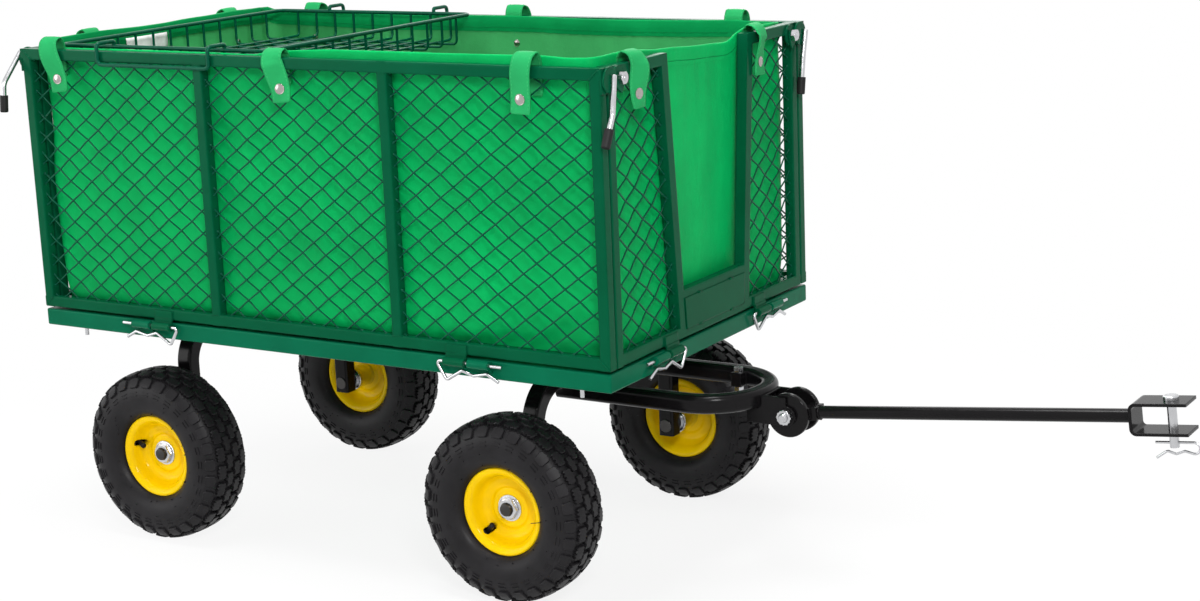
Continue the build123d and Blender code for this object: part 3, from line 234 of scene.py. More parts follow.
# Hem's section from outer foot over the edge to inner foot: rows down, shares of its shell out and up
HEM_SECTION = ((2, 0.85, 0), (1, 1, 0), (0, 1, 0), (0, 0.7, 0.8), (0, 0, 1.2), (0, -0.7, 0.8), (0, -1, 0),
               (1, -1, 0), (2, -0.85, 0))
HEM_TOP = 4
HEM_SHELL = 1.9
STITCH = 3.2
STITCH_GAP = 1.9
STITCH_RADIUS = 0.42
STITCH_RISE = 0.35
STITCH_DROP = 5

STRAP_WIDTH = 30
STRAP_THICK = 1.7
STRAP_PUFF = 0.9
STRAP_COLUMNS = 7
STRAP_SEAM = 0.82      # share of the half width
# Strap's middle line: out from the panel's face, up from its top, shares of the loop's height and the drift
STRAP_PATH = (
    (-18, -40, 0, 0), (-18, -12, 0, 0), (-18, 2, 0, 0), (-15.5, -6, 1, 0), (-10, 0, 1, 0.02),
    (1, -4, 1, 0.08), (6.5, -14, 1, 0.2), (8, -10, 0, 0.42), (5.5, -26, 0, 0.68), (3.4, -42, 0, 0.88),
    (4.6, -61, 0, 1.0),
)
# Straps: wall, place and tail's drift along it, loop's height over the panel, tail's turn, neck's twist
STRAPS = (
    ("right", 389, -6, 17, -7, 0), ("right", -22, 15, 11, 12, 28), ("right", -443, 19, 17, 2, 16),
    ("left", 397, -5, 15, 5, 10), ("left", 8, 6, 16, -6, 0), ("left", -395, 8, 14, 4, 12),
    ("front", -199, 2, 13, -9, -26), ("front", 147, -7, 10, 4, 13),
    ("rear", -152, -6, 15, 5, 8), ("rear", 168, 6, 14, -5, 0),
)
STUD_DROP = 41
STUD_LIFT = 1.7
STUD_BACK_LIFT = 1.2
STUD_BACK_SIZE = 0.75   # share of the outer stud's size
LINER_BEHIND = 25       # cloth is looked for this far behind a stud
STUD_PROFILE = ((0.0, 2.3), (2.2, 2.25), (4.4, 1.9), (5.9, 1.15), (6.3, 1.0), (6.8, 1.25), (7.4, 0.9),
                (7.5, 0.2), (7.3, -0.6))
LABEL_AT = (-90.0, 706.0)
LABEL_SIZE = (92.0, 26.0)
LABEL_STEPS = (8, 4)
LABEL_THICK = 0.5
LABEL_CLOTH = (-90, 10, 700, 735)    # stretch of the rear wall that it lies on, across and up

# Welds
WELD_STEP = 2.2
WELD_SEEDS = itertools.count()
MITRE_WELD = ((0.5, -1), (-14.5, -14.5))    # ends from a bay's corner, along and up into the bay
POST_WELD = 8.5                             # from a post's middle line, between two depths
POST_WELD_DEPTHS = (271.5, 282.5)
FACE_WELD = 7                               # half length across a post's face, at its depth
FACE_WELD_DEPTH = 284.6
TACK_AT = 45
TACK_HALF = 4
DRAWBAR_TILT = 6    # degrees
DRAWBAR_RINGS = ((40.5, 9.4), (477.5, 9.6))    # along the rod from its pivot, radius


def middle(node):
    """Middle of a CAD node's box."""
    low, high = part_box(node)
    return (low + high) / 2


BED = Vector((middle("bed_frame").x, 0.0, 0.0))
DRAWBAR_PIVOT = BED + Vector((618, 0, 234)) * MM
PANEL_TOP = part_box("panel_right_frame")[1].z


# Mesh building


class Build:
    """Vertices and faces gathered into one mesh."""

    def __init__(self):
        self.verts = []
        self.faces = []

    def add(self, verts, faces):
        base = len(self.verts)
        self.verts.extend(tuple(v) for v in verts)
        self.faces.extend([index + base for index in face] for face in faces)

    def make(self, name, material, sharp=40.0):
        mesh = bpy.data.meshes.new(name)
        mesh.from_pydata(self.verts, [], self.faces)
        mesh.validate()
        shape = bmesh.new()
        shape.from_mesh(mesh)
        bmesh.ops.recalc_face_normals(shape, faces=shape.faces[:])
        shape.to_mesh(mesh)
        shape.free()
        mesh.shade_smooth()
        mesh.set_sharp_from_angle(angle=radians(sharp))
        mesh.materials.append(material)
        return linked(name, mesh)

    def put(self, name, material, sharp, body, slot, *nodes):
        place(self.make(name, material, sharp), body, slot, *nodes)


def linked(name, data):
    """New object in the scene."""
    obj = bpy.data.objects.new(name, data)
    bpy.context.scene.collection.objects.link(obj)
    return obj


def assign(target, **settings):
    """Gives a thing its settings."""
    for key, value in settings.items():
        setattr(target, key, value)
    return target


def apply_modifiers(obj):
    """Makes an object's modifiers part of its mesh."""
    bpy.context.view_layer.update()
    graph = bpy.context.evaluated_depsgraph_get()
    mesh = bpy.data.meshes.new_from_object(obj.evaluated_get(graph))
    obj.modifiers.clear()
    obj.data = mesh


def sheet_of(obj, thick, **settings):
    """Makes a mesh finer and gives it a thickness, half to each side."""
    assign(obj.modifiers.new("finer", "SUBSURF"), levels=1, render_levels=1)
    assign(obj.modifiers.new("thick", "SOLIDIFY"), thickness=thick * MM, offset=0.0, **settings)


def place(obj, body, slot, *nodes):
    """Rides a piece on its body and hides the nodes that it stands for; the slot is not used."""
    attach(obj, body)
    if nodes:
        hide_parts(*nodes)


def stood(at, turn):
    """Matrix that turns about the upright axis and then moves."""
    return Matrix.Translation(at) @ Matrix.Rotation(turn, 4, "Z")


def quads(rows, count, closed=False, rings=True):
    """Faces between rows of points; the rows can be rings, and the last can join the first."""
    faces = []
    for i in range(rows if closed else rows - 1):
        j = (i + 1) % rows
        for k in range(count if rings else count - 1):
            m = (k + 1) % count
            faces.append([i * count + k, i * count + m, j * count + m, j * count + k])
    return faces


def circle(steps):
    """Points on a circle of radius one."""
    return [(cos(TURN * k / steps), sin(TURN * k / steps)) for k in range(steps)]


def arc(radius, start, end, steps):
    """Points on an arc about the origin, between two angles in degrees."""
    angles = [radians(start + (end - start) * k / steps) for k in range(steps + 1)]
    return [(radius * cos(angle), radius * sin(angle)) for angle in angles]


def prism(count):
    """Faces of a bar between two outlines, with its ends."""
    return quads(2, count) + [list(range(count))[::-1], list(range(count, 2 * count))]


def run_lengths(points):
    """Distance of each point from the first along a line."""
    lengths = [0.0]
    for a, b in zip(points, points[1:]):
        lengths.append(lengths[-1] + dist(a, b))
    return lengths


def frames_along(points):
    """Tangent, side and up at each point of a line, turning as little as possible."""
    points = [Vector(p) for p in points]
    tangents = []
    for i in range(len(points)):
        ahead = points[min(i + 1, len(points) - 1)] - points[max(i - 1, 0)]
        tangents.append(ahead.normalized())
    start = Vector((0, 0, 1)) if abs(tangents[0].z) < 0.9 else Vector((1, 0, 0))
    side = tangents[0].cross(start).normalized()
    rows = []
    for tangent in tangents:
        side = (side - tangent * side.dot(tangent)).normalized()
        rows.append((tangent, side, tangent.cross(side)))
    return points, rows


def tube(build, points, radius, sides=8, closed=False):
    """Round bar along a line, with one radius or one at each point; open ends are domed."""
    points, rows = frames_along(points)
    radii = radius if hasattr(radius, "__len__") else [radius] * len(points)
    verts = []
    for point, (_, side, up), r in zip(points, rows, radii):
        verts += [point + (side * a + up * b) * r for a, b in circle(sides)]
    faces = quads(len(points), sides, closed)
    if not closed:
        for i, sign in ((0, -1), (len(points) - 1, 1)):
            tip = len(verts)
            verts.append(points[i] + rows[i][0] * sign * radii[i] * 0.45)
            for k in range(sides):
                a, b = i * sides + k, i * sides + (k + 1) % sides
                faces.append([a, b, tip] if sign > 0 else [b, a, tip])
    build.add(verts, faces)


def rounded(points, radius, steps=5, closed=False):
    """A line with its corners turned into arcs."""
    points = [Vector(p) for p in points]
    count = len(points)
    line = []
    for i in range(count):
        if not closed and i in (0, count - 1):
            line.append(points[i])
            continue
        before, here, after = points[i - 1], points[i], points[(i + 1) % count]
        inward, outward = (before - here).normalized(), (after - here).normalized()
        turn = pi - inward.angle(outward)
        cut = min(radius * tan(turn / 2), 0.49 * (before - here).length, 0.49 * (after - here).length)
        start, end = here + inward * cut, here + outward * cut
        for k in range(steps + 1):
            t = k / steps
            line.append(start.lerp(here, t).lerp(here.lerp(end, t), t))
    return line


def lathe(build, profile, segments, closed=False, move=None):
    """Ring about Y from (radius, y) points, or from a function that gives them at an angle."""
    verts = []
    for s in range(segments):
        angle = TURN * s / segments
        for r, y in profile(angle) if callable(profile) else profile:
            verts.append((r * MM * cos(angle), y * MM, r * MM * sin(angle)))
    if move is not None:
        verts = [move @ Vector(v) for v in verts]
    build.add(verts, quads(segments, len(verts) // segments, True, closed))


def smooth_line(points, steps):
    """Points on a smooth curve through a few given ones."""
    points = [Vector(p) for p in points]
    line = []
    for i in range(len(points) - 1):
        a, b = points[max(i - 1, 0)], points[i]
        c, d = points[i + 1], points[min(i + 2, len(points) - 1)]
        for k in range(steps):
            t = k / steps
            line.append(0.5 * (2 * b + (c - a) * t + (2 * a - 5 * b + 4 * c - d) * t * t
                               + (3 * b - a - 3 * c + d) * t ** 3))
    line.append(points[-1])
    return line


# Materials


def feed(tree, socket, value):
    """Gives a socket another node's output, or a number or colour."""
    if isinstance(value, bpy.types.NodeSocket):
        tree.links.new(value, socket)
    elif value is not None:
        socket.default_value = value


def node(tree, kind, *inputs, **values):
    """New node; its inputs in their order or by name, and its settings by name."""
    made = tree.nodes.new("ShaderNode" + kind)
    for key, value in values.items():
        if key in made.inputs:
            feed(tree, made.inputs[key], value)
        else:
            setattr(made, key, value)
    for socket, value in zip(made.inputs, inputs):
        feed(tree, socket, value)
    return made


def maths(tree, operation, *inputs):
    """Result of an operation on numbers."""
    return node(tree, "Math", *inputs, operation=operation).outputs["Value"]


def surface(tree, key, value):
    """Gives the material's shader one of its inputs."""
    feed(tree, tree.nodes["Principled BSDF"].inputs[key], value)


def shader(name, colour, roughness, metallic=0.0, specular=0.5, ior=1.5, tint=None):
    """New material with a Principled shader; returns it with its tree."""
    mat = bpy.data.materials.new(name)
    mat.use_nodes = True
    values = {"Base Color": (*colour, 1.0), "Roughness": roughness, "Metallic": metallic,
              "Specular IOR Level": specular, "IOR": ior, "Specular Tint": tint}
    for key, value in values.items():
        surface(mat.node_tree, key, value)
    return mat, mat.node_tree


def object_noise(tree, scale, detail=3.0, roughness=0.55, stretch=None):
    """Noise in object space, scale in features per metre."""
    source = node(tree, "TexCoord").outputs["Object"]
    if stretch:
        source = node(tree, "Mapping", Vector=source, Scale=stretch).outputs["Vector"]
    made = node(tree, "TexNoise", Vector=source, Scale=scale, Detail=detail, Roughness=roughness)
    return made.outputs["Fac"]


def vary(tree, key, source, value, low, high):
    """Lets a noise move a shader's colour or number between two shares of itself."""
    made = node(tree, "ValToRGB", Fac=source)
    colour = value if hasattr(value, "__len__") else (value, value, value)
    for stop, position, gain in zip(made.color_ramp.elements, (0.3, 0.7), (low, high)):
        stop.position = position
        stop.color = (*(min(1.0, c * gain) for c in colour), 1.0)
    surface(tree, key, made.outputs["Color"])


def bump(tree, source, strength, distance, under=None):
    """Bump from a value, over an earlier normal if given."""
    made = node(tree, "Bump", Strength=strength, Distance=distance * MM, Height=source, Normal=under)
    surface(tree, "Normal", made.outputs["Normal"])
    return made.outputs["Normal"]


def soft_edge(tree, radius):
    """Normal with its edges softened."""
    return node(tree, "Bevel", samples=4, Radius=radius * MM).outputs["Normal"]


def powder_coat(name, colour, roughness, peel, specular, soften, ior, tint=None):
    """Sprayed and baked paint: slight mottling, orange peel and softened edges."""
    mat, tree = shader(name, colour, roughness, 0.0, specular, ior, tint)
    vary(tree, "Base Color", object_noise(tree, 14.0, 4.0), colour, 0.9, 1.1)
    vary(tree, "Roughness", object_noise(tree, 55.0), roughness, 0.8, 1.25)
    bump(tree, object_noise(tree, 620.0, 2.0), peel, 0.25, soft_edge(tree, soften))
    return mat


def woven(name, colour, roughness, pitch):
    """Coated cloth: threads both ways, soft creases and slight changes of tone."""
    mat, tree = shader(name, colour, roughness, specular=0.8, ior=1.1)
    where = node(tree, "TexCoord").outputs["Object"]
    x, y, z = node(tree, "SeparateXYZ", where).outputs
    threads = []
    for source in (maths(tree, "ADD", x, y), z):
        threads.append(maths(tree, "SINE", maths(tree, "MULTIPLY", source, TURN / (pitch * MM))))
    weave = maths(tree, "MULTIPLY", *threads)
    vary(tree, "Base Color", object_noise(tree, 9.0, 5.0, 0.6), colour, 0.84, 1.12)
    creased = bump(tree, object_noise(tree, 38.0, 6.0, 0.62, (1.0, 1.0, 0.55)), 0.36, 5.0)
    bump(tree, weave, 0.22, 0.3, creased)
    return mat


def moulded(name, colour, roughness):
    """Moulded rubber: fine grain, dull patches and a little dust."""
    mat, tree = shader(name, colour, roughness, specular=0.16)
    patch = object_noise(tree, 26.0, 5.0, 0.6)
    vary(tree, "Base Color", patch, colour, 0.75, 1.45)
    vary(tree, "Roughness", patch, roughness, 0.82, 1.15)
    bump(tree, object_noise(tree, 1400.0, 2.0), 0.18, 0.2)
    return mat


def plated(name, colour, roughness):
    """Plated or bare steel: fine scratches and a slightly uneven shine."""
    mat, tree = shader(name, colour, roughness, 1.0)
    vary(tree, "Roughness", object_noise(tree, 90.0, 4.0, 0.6), roughness, 0.7, 1.5)
    vary(tree, "Base Color", object_noise(tree, 30.0), colour, 0.88, 1.05)
    scratch = object_noise(tree, 500.0, 2.0, 0.5, (1.0, 1.0, 0.15))
    bump(tree, scratch, 0.08, 0.1, soft_edge(tree, 0.4))
    return mat


# Paints: name, colour, roughness, orange peel, reflection, softened edges, index, reflection's tint
GREEN = powder_coat("green_powder_coat", (0.001, 0.082, 0.034), 0.2, 0.1, 1.0, 2.6, 1.1,
                    (0.4, 1.0, 0.7, 1.0))
# Lighter copy of the green paint for the bed frame: painted light, standing for light bounced up from the
# white floor
GREEN_PAINTED_BOUNCE = powder_coat("green_coat_painted_bounce", (0.0015, 0.118, 0.056), 0.2, 0.1, 1.0, 2.2, 1.11,
                        (0.4, 1.0, 0.75, 1.0))
GREEN_WIRE = powder_coat("green_wire_coat", (0.0008, 0.07, 0.036), 0.24, 0.05, 0.9, 0.4, 1.17,
                         (0.6, 1.0, 0.85, 1.0))
BLACK = powder_coat("black_powder_coat", (0.0055, 0.005, 0.0055), 0.17, 0.12, 0.75, 2.4, 1.18)
YELLOW = powder_coat("yellow_enamel", (0.89, 0.575, 0.001), 0.12, 0.03, 0.7, 0.6, 1.16)
CLOTH = woven("liner_cloth", (0.0015, 0.43, 0.105), 0.44, 1.1)
CLOTH_BACK = woven("liner_cloth_back", (0.05, 0.36, 0.115), 0.55, 1.1)
# Darker copy of the liner cloth for the hem's inner half: painted shade on the inside of the bag
HEM_PAINTED_SHADE = woven("hem_painted_shade", (0.0015, 0.26, 0.07), 0.46, 1.1)
WEBBING = woven("strap_cloth", (0.02, 0.35, 0.108), 0.46, 1.1)
HEM_THREAD = woven("hem_thread", (0.004, 0.16, 0.045), 0.6, 0.5)
STRAP_THREAD = woven("strap_thread", (0.05, 0.48, 0.16), 0.6, 0.5)
RUBBER = moulded("tyre_rubber", (0.0105, 0.0098, 0.011), 0.44)
GRIP = moulded("grip_rubber", (0.012, 0.012, 0.012), 0.5)
ZINC = plated("bright_zinc", (0.58, 0.585, 0.6), 0.22)
NICKEL = plated("stud_nickel", (0.44, 0.405, 0.385), 0.17)
STEEL = plated("bearing_steel", (0.7, 0.71, 0.72), 0.16)
DARK_STEEL = plated("dark_steel", (0.06, 0.058, 0.056), 0.34)
PAPER = moulded("blank_label", (0.82, 0.82, 0.8), 0.6)


# Wheels, made about their own axis along Y with +Y outwards


TYRE = [(p.x, p.y) for p in smooth_line([(*p, 0) for p in TYRE_HALF], 4)]
TYRE_RUN = run_lengths(TYRE)


def tyre_point(s, angle, height):
    """Point over the tyre's surface at a distance along its section from the crown."""
    sign = 1 if s >= 0 else -1
    s = abs(s)
    i = int(np.searchsorted(TYRE_RUN, s)) - 1
    i = max(0, min(i, len(TYRE) - 2))
    t = (s - TYRE_RUN[i]) / (TYRE_RUN[i + 1] - TYRE_RUN[i])
    (y0, r0), (y1, r1) = TYRE[i], TYRE[i + 1]
    slope = Vector((y1 - y0, r1 - r0)).normalized()
    y = y0 + (y1 - y0) * t - slope.y * height
    r = r0 + (r1 - r0) * t + slope.x * height
    return (r * cos(angle) * MM, sign * y * MM, r * sin(angle) * MM)


def zigzag(width, length, teeth, depth, side):
    """Block outline, corners cut, with teeth on the inner side, the outer side or both."""
    w, h, cut = width / 2, length / 2, 0.16 * min(width, length)
    outline = []
    for edge in (1, -1):
        outline.append((edge * (w - cut), -edge * h))
        outline.append((edge * w, -edge * (h - cut)))
        if side in (edge, 0):
            for k in range(teeth):
                at = (k + 1) / (teeth + 1) * 2 - 1
                outline.append((edge * (w + (depth if k % 2 else -depth)), edge * at * (h - cut)))
        outline.append((edge * w, edge * (h - cut)))
        outline.append((edge * (w - cut), edge * h))
    return outline


def tread_block(build, centre, angle, outline, height, radius):
    """Raised block on the tyre with chamfered top edges."""
    count = len(outline)
    verts = []
    for shrink, level in ((1.03, -0.4), (0.97, height - 0.8), (0.88, height)):
        for s, along in outline:
            verts.append(tyre_point(centre + s * shrink, angle + along * shrink / radius, level))
    verts.append(tyre_point(centre, angle, height))
    top = [[2 * count + k, 2 * count + (k + 1) % count, 3 * count] for k in range(count)]
    build.add(verts, quads(3, count) + top)


def tyre_pin(build, s, angle, height, radius, sides):
    """Thin pin of rubber standing on the tyre."""
    tube(build, [tyre_point(s, angle, level) for level in (-0.3, height)], radius * MM, sides)


def tyre_mesh():
    """Block-tread tyre with moulded lines and vent hairs on its walls."""
    build = Build()
    lathe(build, [(r, -y) for y, r in reversed(TYRE)] + [(r, y) for y, r in TYRE[1:]], TYRE_SEGMENTS)
    pitch = TURN / TREAD_COUNT
    # Rows: place along the section, place in the pitch, outline, height, radius
    rows = (
        (7.4, 0.25, zigzag(11.5, 20.5, 3, 1.1, 0), TREAD_HEIGHT, 124.0),
        (21.8, 0.75, zigzag(12.5, 20.5, 5, 1.2, 0), TREAD_HEIGHT, 122.0),
        (38.0, 0.25, zigzag(15.0, 17.0, 3, 0.7, -1), SHOULDER_HEIGHT, 114.0),
    )
    dash = zigzag(*DASH_SIZE, 0, 0, 0)
    for step in range(TREAD_COUNT):
        for centre, phase, outline, height, radius in rows:
            for side in (1, -1):
                angle = (step + phase + (0.5 if side < 0 else 0.0)) * pitch
                turned = outline if side > 0 else [(-s, a) for s, a in reversed(outline)]
                tread_block(build, centre * side, angle, turned, height, radius)
        for centre in DASHES_AT:
            for side in (1, -1):
                tread_block(build, centre * side, (step + 0.25) * pitch, dash, DASH_HEIGHT, 100.0)
    draw = random.Random(7)
    for _ in range(HAIR_COUNT):
        angle, s = draw.uniform(0, TURN), draw.uniform(*HAIRS_AT)
        tyre_pin(build, s * draw.choice((-1, 1)), angle, *HAIR_PIN, 5)
    for k in range(VENT_COUNT):
        for side in (1, -1):
            tyre_pin(build, VENT_AT * side, TURN * (k + 0.3) / VENT_COUNT, *VENT_PIN, 6)
    return build.make("tyre_source", RUBBER, 32.0)


def rim_mesh():
    """Pressed rim with a rolled lip, raised ring and a slot for the valve, the valve at angle zero."""
    outer = [(*p, 0) for p in RIM_FACE]
    face = smooth_line(outer[:2], 3)[:-1] + smooth_line(outer[1:], 4)
    half = [(p.x, p.y) for p in face] + RIM_SEAT
    build = Build()
    lathe(build, half + [(r, -y) for r, y in reversed(half)], RIM_SEGMENTS, closed=True)
    rim = build.make("rim_source", YELLOW, 50.0)
    along = (VALVE_END - VALVE_START).normalized()
    across = Vector((along.y, -along.x))
    half_wide, half_long = SLOT_HALF
    verts = []
    for share in SLOT_REACH:
        centre = VALVE_START.lerp(VALVE_END, share)
        for a, b in circle(SLOT_STEPS):
            p = centre + across * (half_wide * a + copysign(half_long - half_wide, a))
            verts.append((p.x * MM, p.y * MM, half_wide * b * MM))
    cutter = Build()
    cutter.add(verts, prism(SLOT_STEPS))
    tool = cutter.make("slot_cutter", YELLOW)
    assign(rim.modifiers.new("slot", "BOOLEAN"), operation="DIFFERENCE", object=tool, solver="EXACT")
    apply_modifiers(rim)
    bpy.data.objects.remove(tool)
    return rim


def inner_tube_mesh():
    """Inner tube with its valve stem and cap, the valve at angle zero."""
    build = Build()
    rise, half = TUBE_HALF
    lathe(build, [(TUBE_MIDDLE + rise * a, half * b) for a, b in circle(TUBE_STEPS)], 64, closed=True)
    line = [VALVE_START.lerp(VALVE_END, share).to_3d() * MM for share, _ in VALVE_STEPS]
    tube(build, line, [radius * MM for _, radius in VALVE_STEPS], 18)
    return build.make("inner_tube_source", RUBBER, 40.0)


def hub_trim_mesh():
    """Pressed dust ring and seal over the outer bearing, and a ring round the hub's inner end."""
    build = Build()
    for profile in HUB_RINGS:
        lathe(build, profile, 64)
    return build.make("hub_trim_source", ZINC, 30.0)


def make_wheels():
    """Four wheels, each piece at its CAD node's place, the valve turned as in the CAD part."""
    sources = {
        "tyre": (tyre_mesh(), "tyre_rubber"),
        "rim": (rim_mesh(), "yellow_rim"),
        "inner_tube": (inner_tube_mesh(), "tube_rubber"),
        "hub_trim": (hub_trim_mesh(), "zinc"),
    }
    for end, side in itertools.product(ENDS, SIDES):
        body = f"wheel_{end}_{side}"
        centre = middle(f"{body}_tyre")
        spin = Matrix.Rotation(radians(VALVE_TURN[end] - 180), 4, "Y")
        for kind, (source, slot) in sources.items():
            shape = source.data.copy()
            shape.transform(spin)
            piece = linked(f"{body}_{kind}_shape", shape)
            piece.matrix_world = stood(centre, pi if side == "right" else 0.0)
            replaced = [f"{body}_{kind}"] if f"{body}_{kind}" in frame["nodes"] else []
            place(piece, body, slot, *replaced)
    for source, _ in sources.values():
        bpy.data.objects.remove(source)
    hair = Build()
    hub = middle("wheel_front_right_tyre")
    tube(hair, smooth_line([hub + Vector(p) * MM for p in LONG_HAIR], 4), 0.55 * MM, 6)
    hair.put("wheel_front_right_hair", RUBBER, 60, "wheel_front_right", "tyre_rubber")


# Stub axles, bolt heads and pivot nut


def hex_nut(build, move, across, hole, low, high):
    """Hexagon nut about Y with its corners turned off, between two places along its axis."""
    flat = across / 2
    turned = 0.985 * flat

    def section(angle):
        reach = flat / cos(angle % (pi / 3) - pi / 6)
        slope = (reach - turned) * 0.6
        return ((hole, low), (turned, low), (reach, low + slope), (reach, high - slope), (turned, high),
                (hole + 0.8, high), (hole, high - 0.7))

    lathe(build, section, NUT_STEPS, True, move)


def make_axle_ends():
    """Stub axles with their washers and nuts, the catch bolts' heads and the drawbar pivot's nut."""
    for end, body in (("front", "steering"), ("rear", "bed")):
        shafts, nuts = Build(), Build()
        centre = middle(f"{end}_axle_bolts")
        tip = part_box(f"{end}_axle_bolts")[1].y / MM
        leg_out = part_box(f"{end}_axle_bow")[1].y / MM
        leg_in = leg_out - BOW_TUBE
        seat = middle(f"wheel_{end}_left_tyre").y / MM + NUT_SEAT
        shaft = (
            (AXIS, leg_in - 1.5), (9.3, leg_in - 1.5), (10, leg_in - 0.8), (10, leg_in),
            (AXLE_ROUND, leg_in), (AXLE_ROUND, seat), (AXLE_END_ROUND, seat), (AXLE_END_ROUND, tip - 1.4),
            (AXLE_END_ROUND - 0.5, tip - 0.4), (AXLE_END_ROUND - 1.6, tip), (AXIS, tip),
        )
        washer = ((8.2, 0), (13.6, 0), (14, 0.4), (14, 2.6), (13.6, 3), (8.2, 3))
        for facing in (0.0, pi):
            move = stood((centre.x, 0, centre.z), facing)
            lathe(shafts, shaft, TURNED_STEPS, move=move)
            lathe(nuts, [(r, leg_out + y) for r, y in washer], TURNED_STEPS, move=move)
            hex_nut(nuts, move, AXLE_NUT_AF, AXLE_END_ROUND + 0.1, seat, seat + AXLE_NUT_THICK)
        shafts.put(f"{end}_axle_shafts", DARK_STEEL, 35, body, "dark_steel", f"{end}_axle_bolts")
        nuts.put(f"{end}_axle_nuts", ZINC, 25, body, "zinc", f"{end}_axle_bolts")
    for end in ENDS:
        heads = Build()
        reach = abs(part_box(f"panel_{end}_catch_bolts")[end == "front"].x - BED.x) / MM
        dome = ((3.3, reach - 1), (3.3, reach + 0.5), (2.6, reach + 1.4), (AXIS, reach + 1.7))
        for side in (1, -1):
            at = Vector((BED.x, side * (LATCH_AT[0] - CAM_ARM) * MM, LATCH_AT[1] * MM))
            move = stood(at, -OUTWARDS[end][0] * pi / 2)
            hex_nut(heads, move, CATCH_HEAD_AF, 3.2, reach - CATCH_HEAD_THICK, reach + 0.6)
            lathe(heads, dome, 24, move=move)
        heads.put(f"panel_{end}_catch_heads", ZINC, 25, f"panel_{end}", "zinc")
    near = Build()
    move = stood(DRAWBAR_PIVOT, pi)
    top = PIVOT_FACE + PIVOT_NUT_THICK
    hex_nut(near, move, PIVOT_NUT_AF, PIVOT_ROUND + 0.1, PIVOT_FACE + 0.1, top)
    thread = [(PIVOT_ROUND - (0.6 if k % 2 else 0.1), top - 2 + THREAD_PITCH * k) for k in range(8)]
    tip = thread[-1][1] + 0.6
    lathe(near, thread + [(PIVOT_ROUND - 1.2, tip), (AXIS, tip)], TURNED_STEPS, move=move)
    near.put("drawbar_pivot_nut", ZINC, 25, "steering", "zinc")


# Panel meshes


def clipped(origin, way, window):
    """The stretch of a slanting line inside a convex window, as two distances, or nothing."""
    low, high = -10.0, 10.0
    for (ax, ay), (bx, by) in zip(window, window[1:] + window[:1]):
        nx, ny = ay - by, bx - ax
        speed = nx * way[0] + ny * way[1]
        t = -(nx * (origin[0] - ax) + ny * (origin[1] - ay)) / speed
        low, high = (max(low, t), high) if speed > 0 else (low, min(high, t))
    return (low, high) if high - low > WIRE_LEAST * MM else None


def mesh_wires(build, window, at, out):
    """Crossed wires filling a window, crimped so that each goes over and under the others by turns."""
    us, vs = zip(*window)
    mid_u, mid_v = (min(us) + max(us)) / 2, (min(vs) + max(vs)) / 2
    pu, pv = WIRE_PITCH[0] * MM, WIRE_PITCH[1] * MM
    reach = ceil((max(us) - mid_u) / pu + (max(vs) - mid_v) / pv) + 1
    length = hypot(pu, pv)
    for lean in (1, -1):
        way = (pu / length, lean * pv / length)
        for k in range(-reach, reach):
            origin = (mid_u + (k + 0.5) * pu, mid_v)
            span = clipped(origin, way, window)
            if not span:
                continue

            def on_wire(t):
                u, v = origin[0] + way[0] * t, origin[1] + way[1] * t
                crimp = lean * cos(pi * (2 * t / length + k)) * WIRE_CRIMP * MM
                return Vector((u, at.y, v) if out.y else (at.x, u, v)) + out * crimp

            low, high = span
            steps = max(2, int((high - low) / length * 8))
            points = [on_wire(low + (high - low) * i / steps) for i in range(steps + 1)]
            tube(build, points, WIRE_RADIUS * MM, 6)
            for end, inward in ((low, 1), (high, -1)):
                bead = [on_wire(end + inward * (WIRE_SINK + d) * MM) for d, _ in WIRE_BEAD]
                tube(build, bead, [r * MM for _, r in WIRE_BEAD], 6)


def bay_windows(end_panel):
    """The bays of a panel frame, as windows of (along, up), reaching a little into the tubes."""
    sink = WIRE_SINK * MM
    low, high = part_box("panel_right_mesh")
    z0, z1 = low.z - sink, high.z + sink
    if end_panel:
        edge = -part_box("panel_front_mesh")[1].y - sink
        right = [(edge, z0), (sink - GAP_FOOT * MM, z0), (sink - GAP_HEAD * MM, z1), (edge, z1)]
        return [right, [(-u, v) for u, v in reversed(right)]]
    posts = [BED.x + (post + half) * MM for post in (-POST_AT, POST_AT) for half in (-POST_HALF, POST_HALF)]
    edges = [low.x, *posts, high.x]
    return [[(a - sink, z0), (b + sink, z0), (b + sink, z1), (a - sink, z1)]
            for a, b in zip(edges[::2], edges[1::2])]


def make_meshes():
    """Wire mesh in all four panels."""
    for wall in SIDES + ENDS:
        panel = f"panel_{wall}"
        build = Build()
        for window in bay_windows(wall in ENDS):
            mesh_wires(build, window, middle(f"{panel}_mesh"), Vector(OUTWARDS[wall]))
        build.put(f"{panel}_wires", GREEN_WIRE, 60, panel, "green_frame", f"{panel}_mesh")


# Liner


def liner_box():
    """The CAD liner's box and the halves of its length and width."""
    low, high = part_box("liner")
    return low, high, (high.x - low.x) / 2, (high.y - low.y) / 2


def ripple(x, y, z, fineness, fineness_up=0, shift=0.0):
    """Noise at a point, with its fineness along the ground and upwards."""
    return noise.noise(Vector((x * fineness, y * fineness, z * fineness_up + shift)))


def rounded_plan(half_x, half_y, corners, count):
    """Points evenly spaced round a rectangle with round corners."""
    line = []
    turns = ((1, -1, -90), (1, 1, 0), (-1, 1, 90), (-1, -1, 180))
    for (cx, cy, start), corner in zip(turns, corners):
        corner = min(corner * MM, half_x, half_y)
        line += [(cx * (half_x - corner) + a, cy * (half_y - corner) + b)
                 for a, b in arc(corner, start, start + 90, CORNER_STEPS)]
    line = np.array(line + line[:1])
    steps = np.r_[0, np.cumsum(np.hypot(*np.diff(line, axis=0).T))]
    at = np.linspace(0, steps[-1], count, endpoint=False)
    return np.stack([np.interp(at, steps, line[:, 0]), np.interp(at, steps, line[:, 1])], 1)


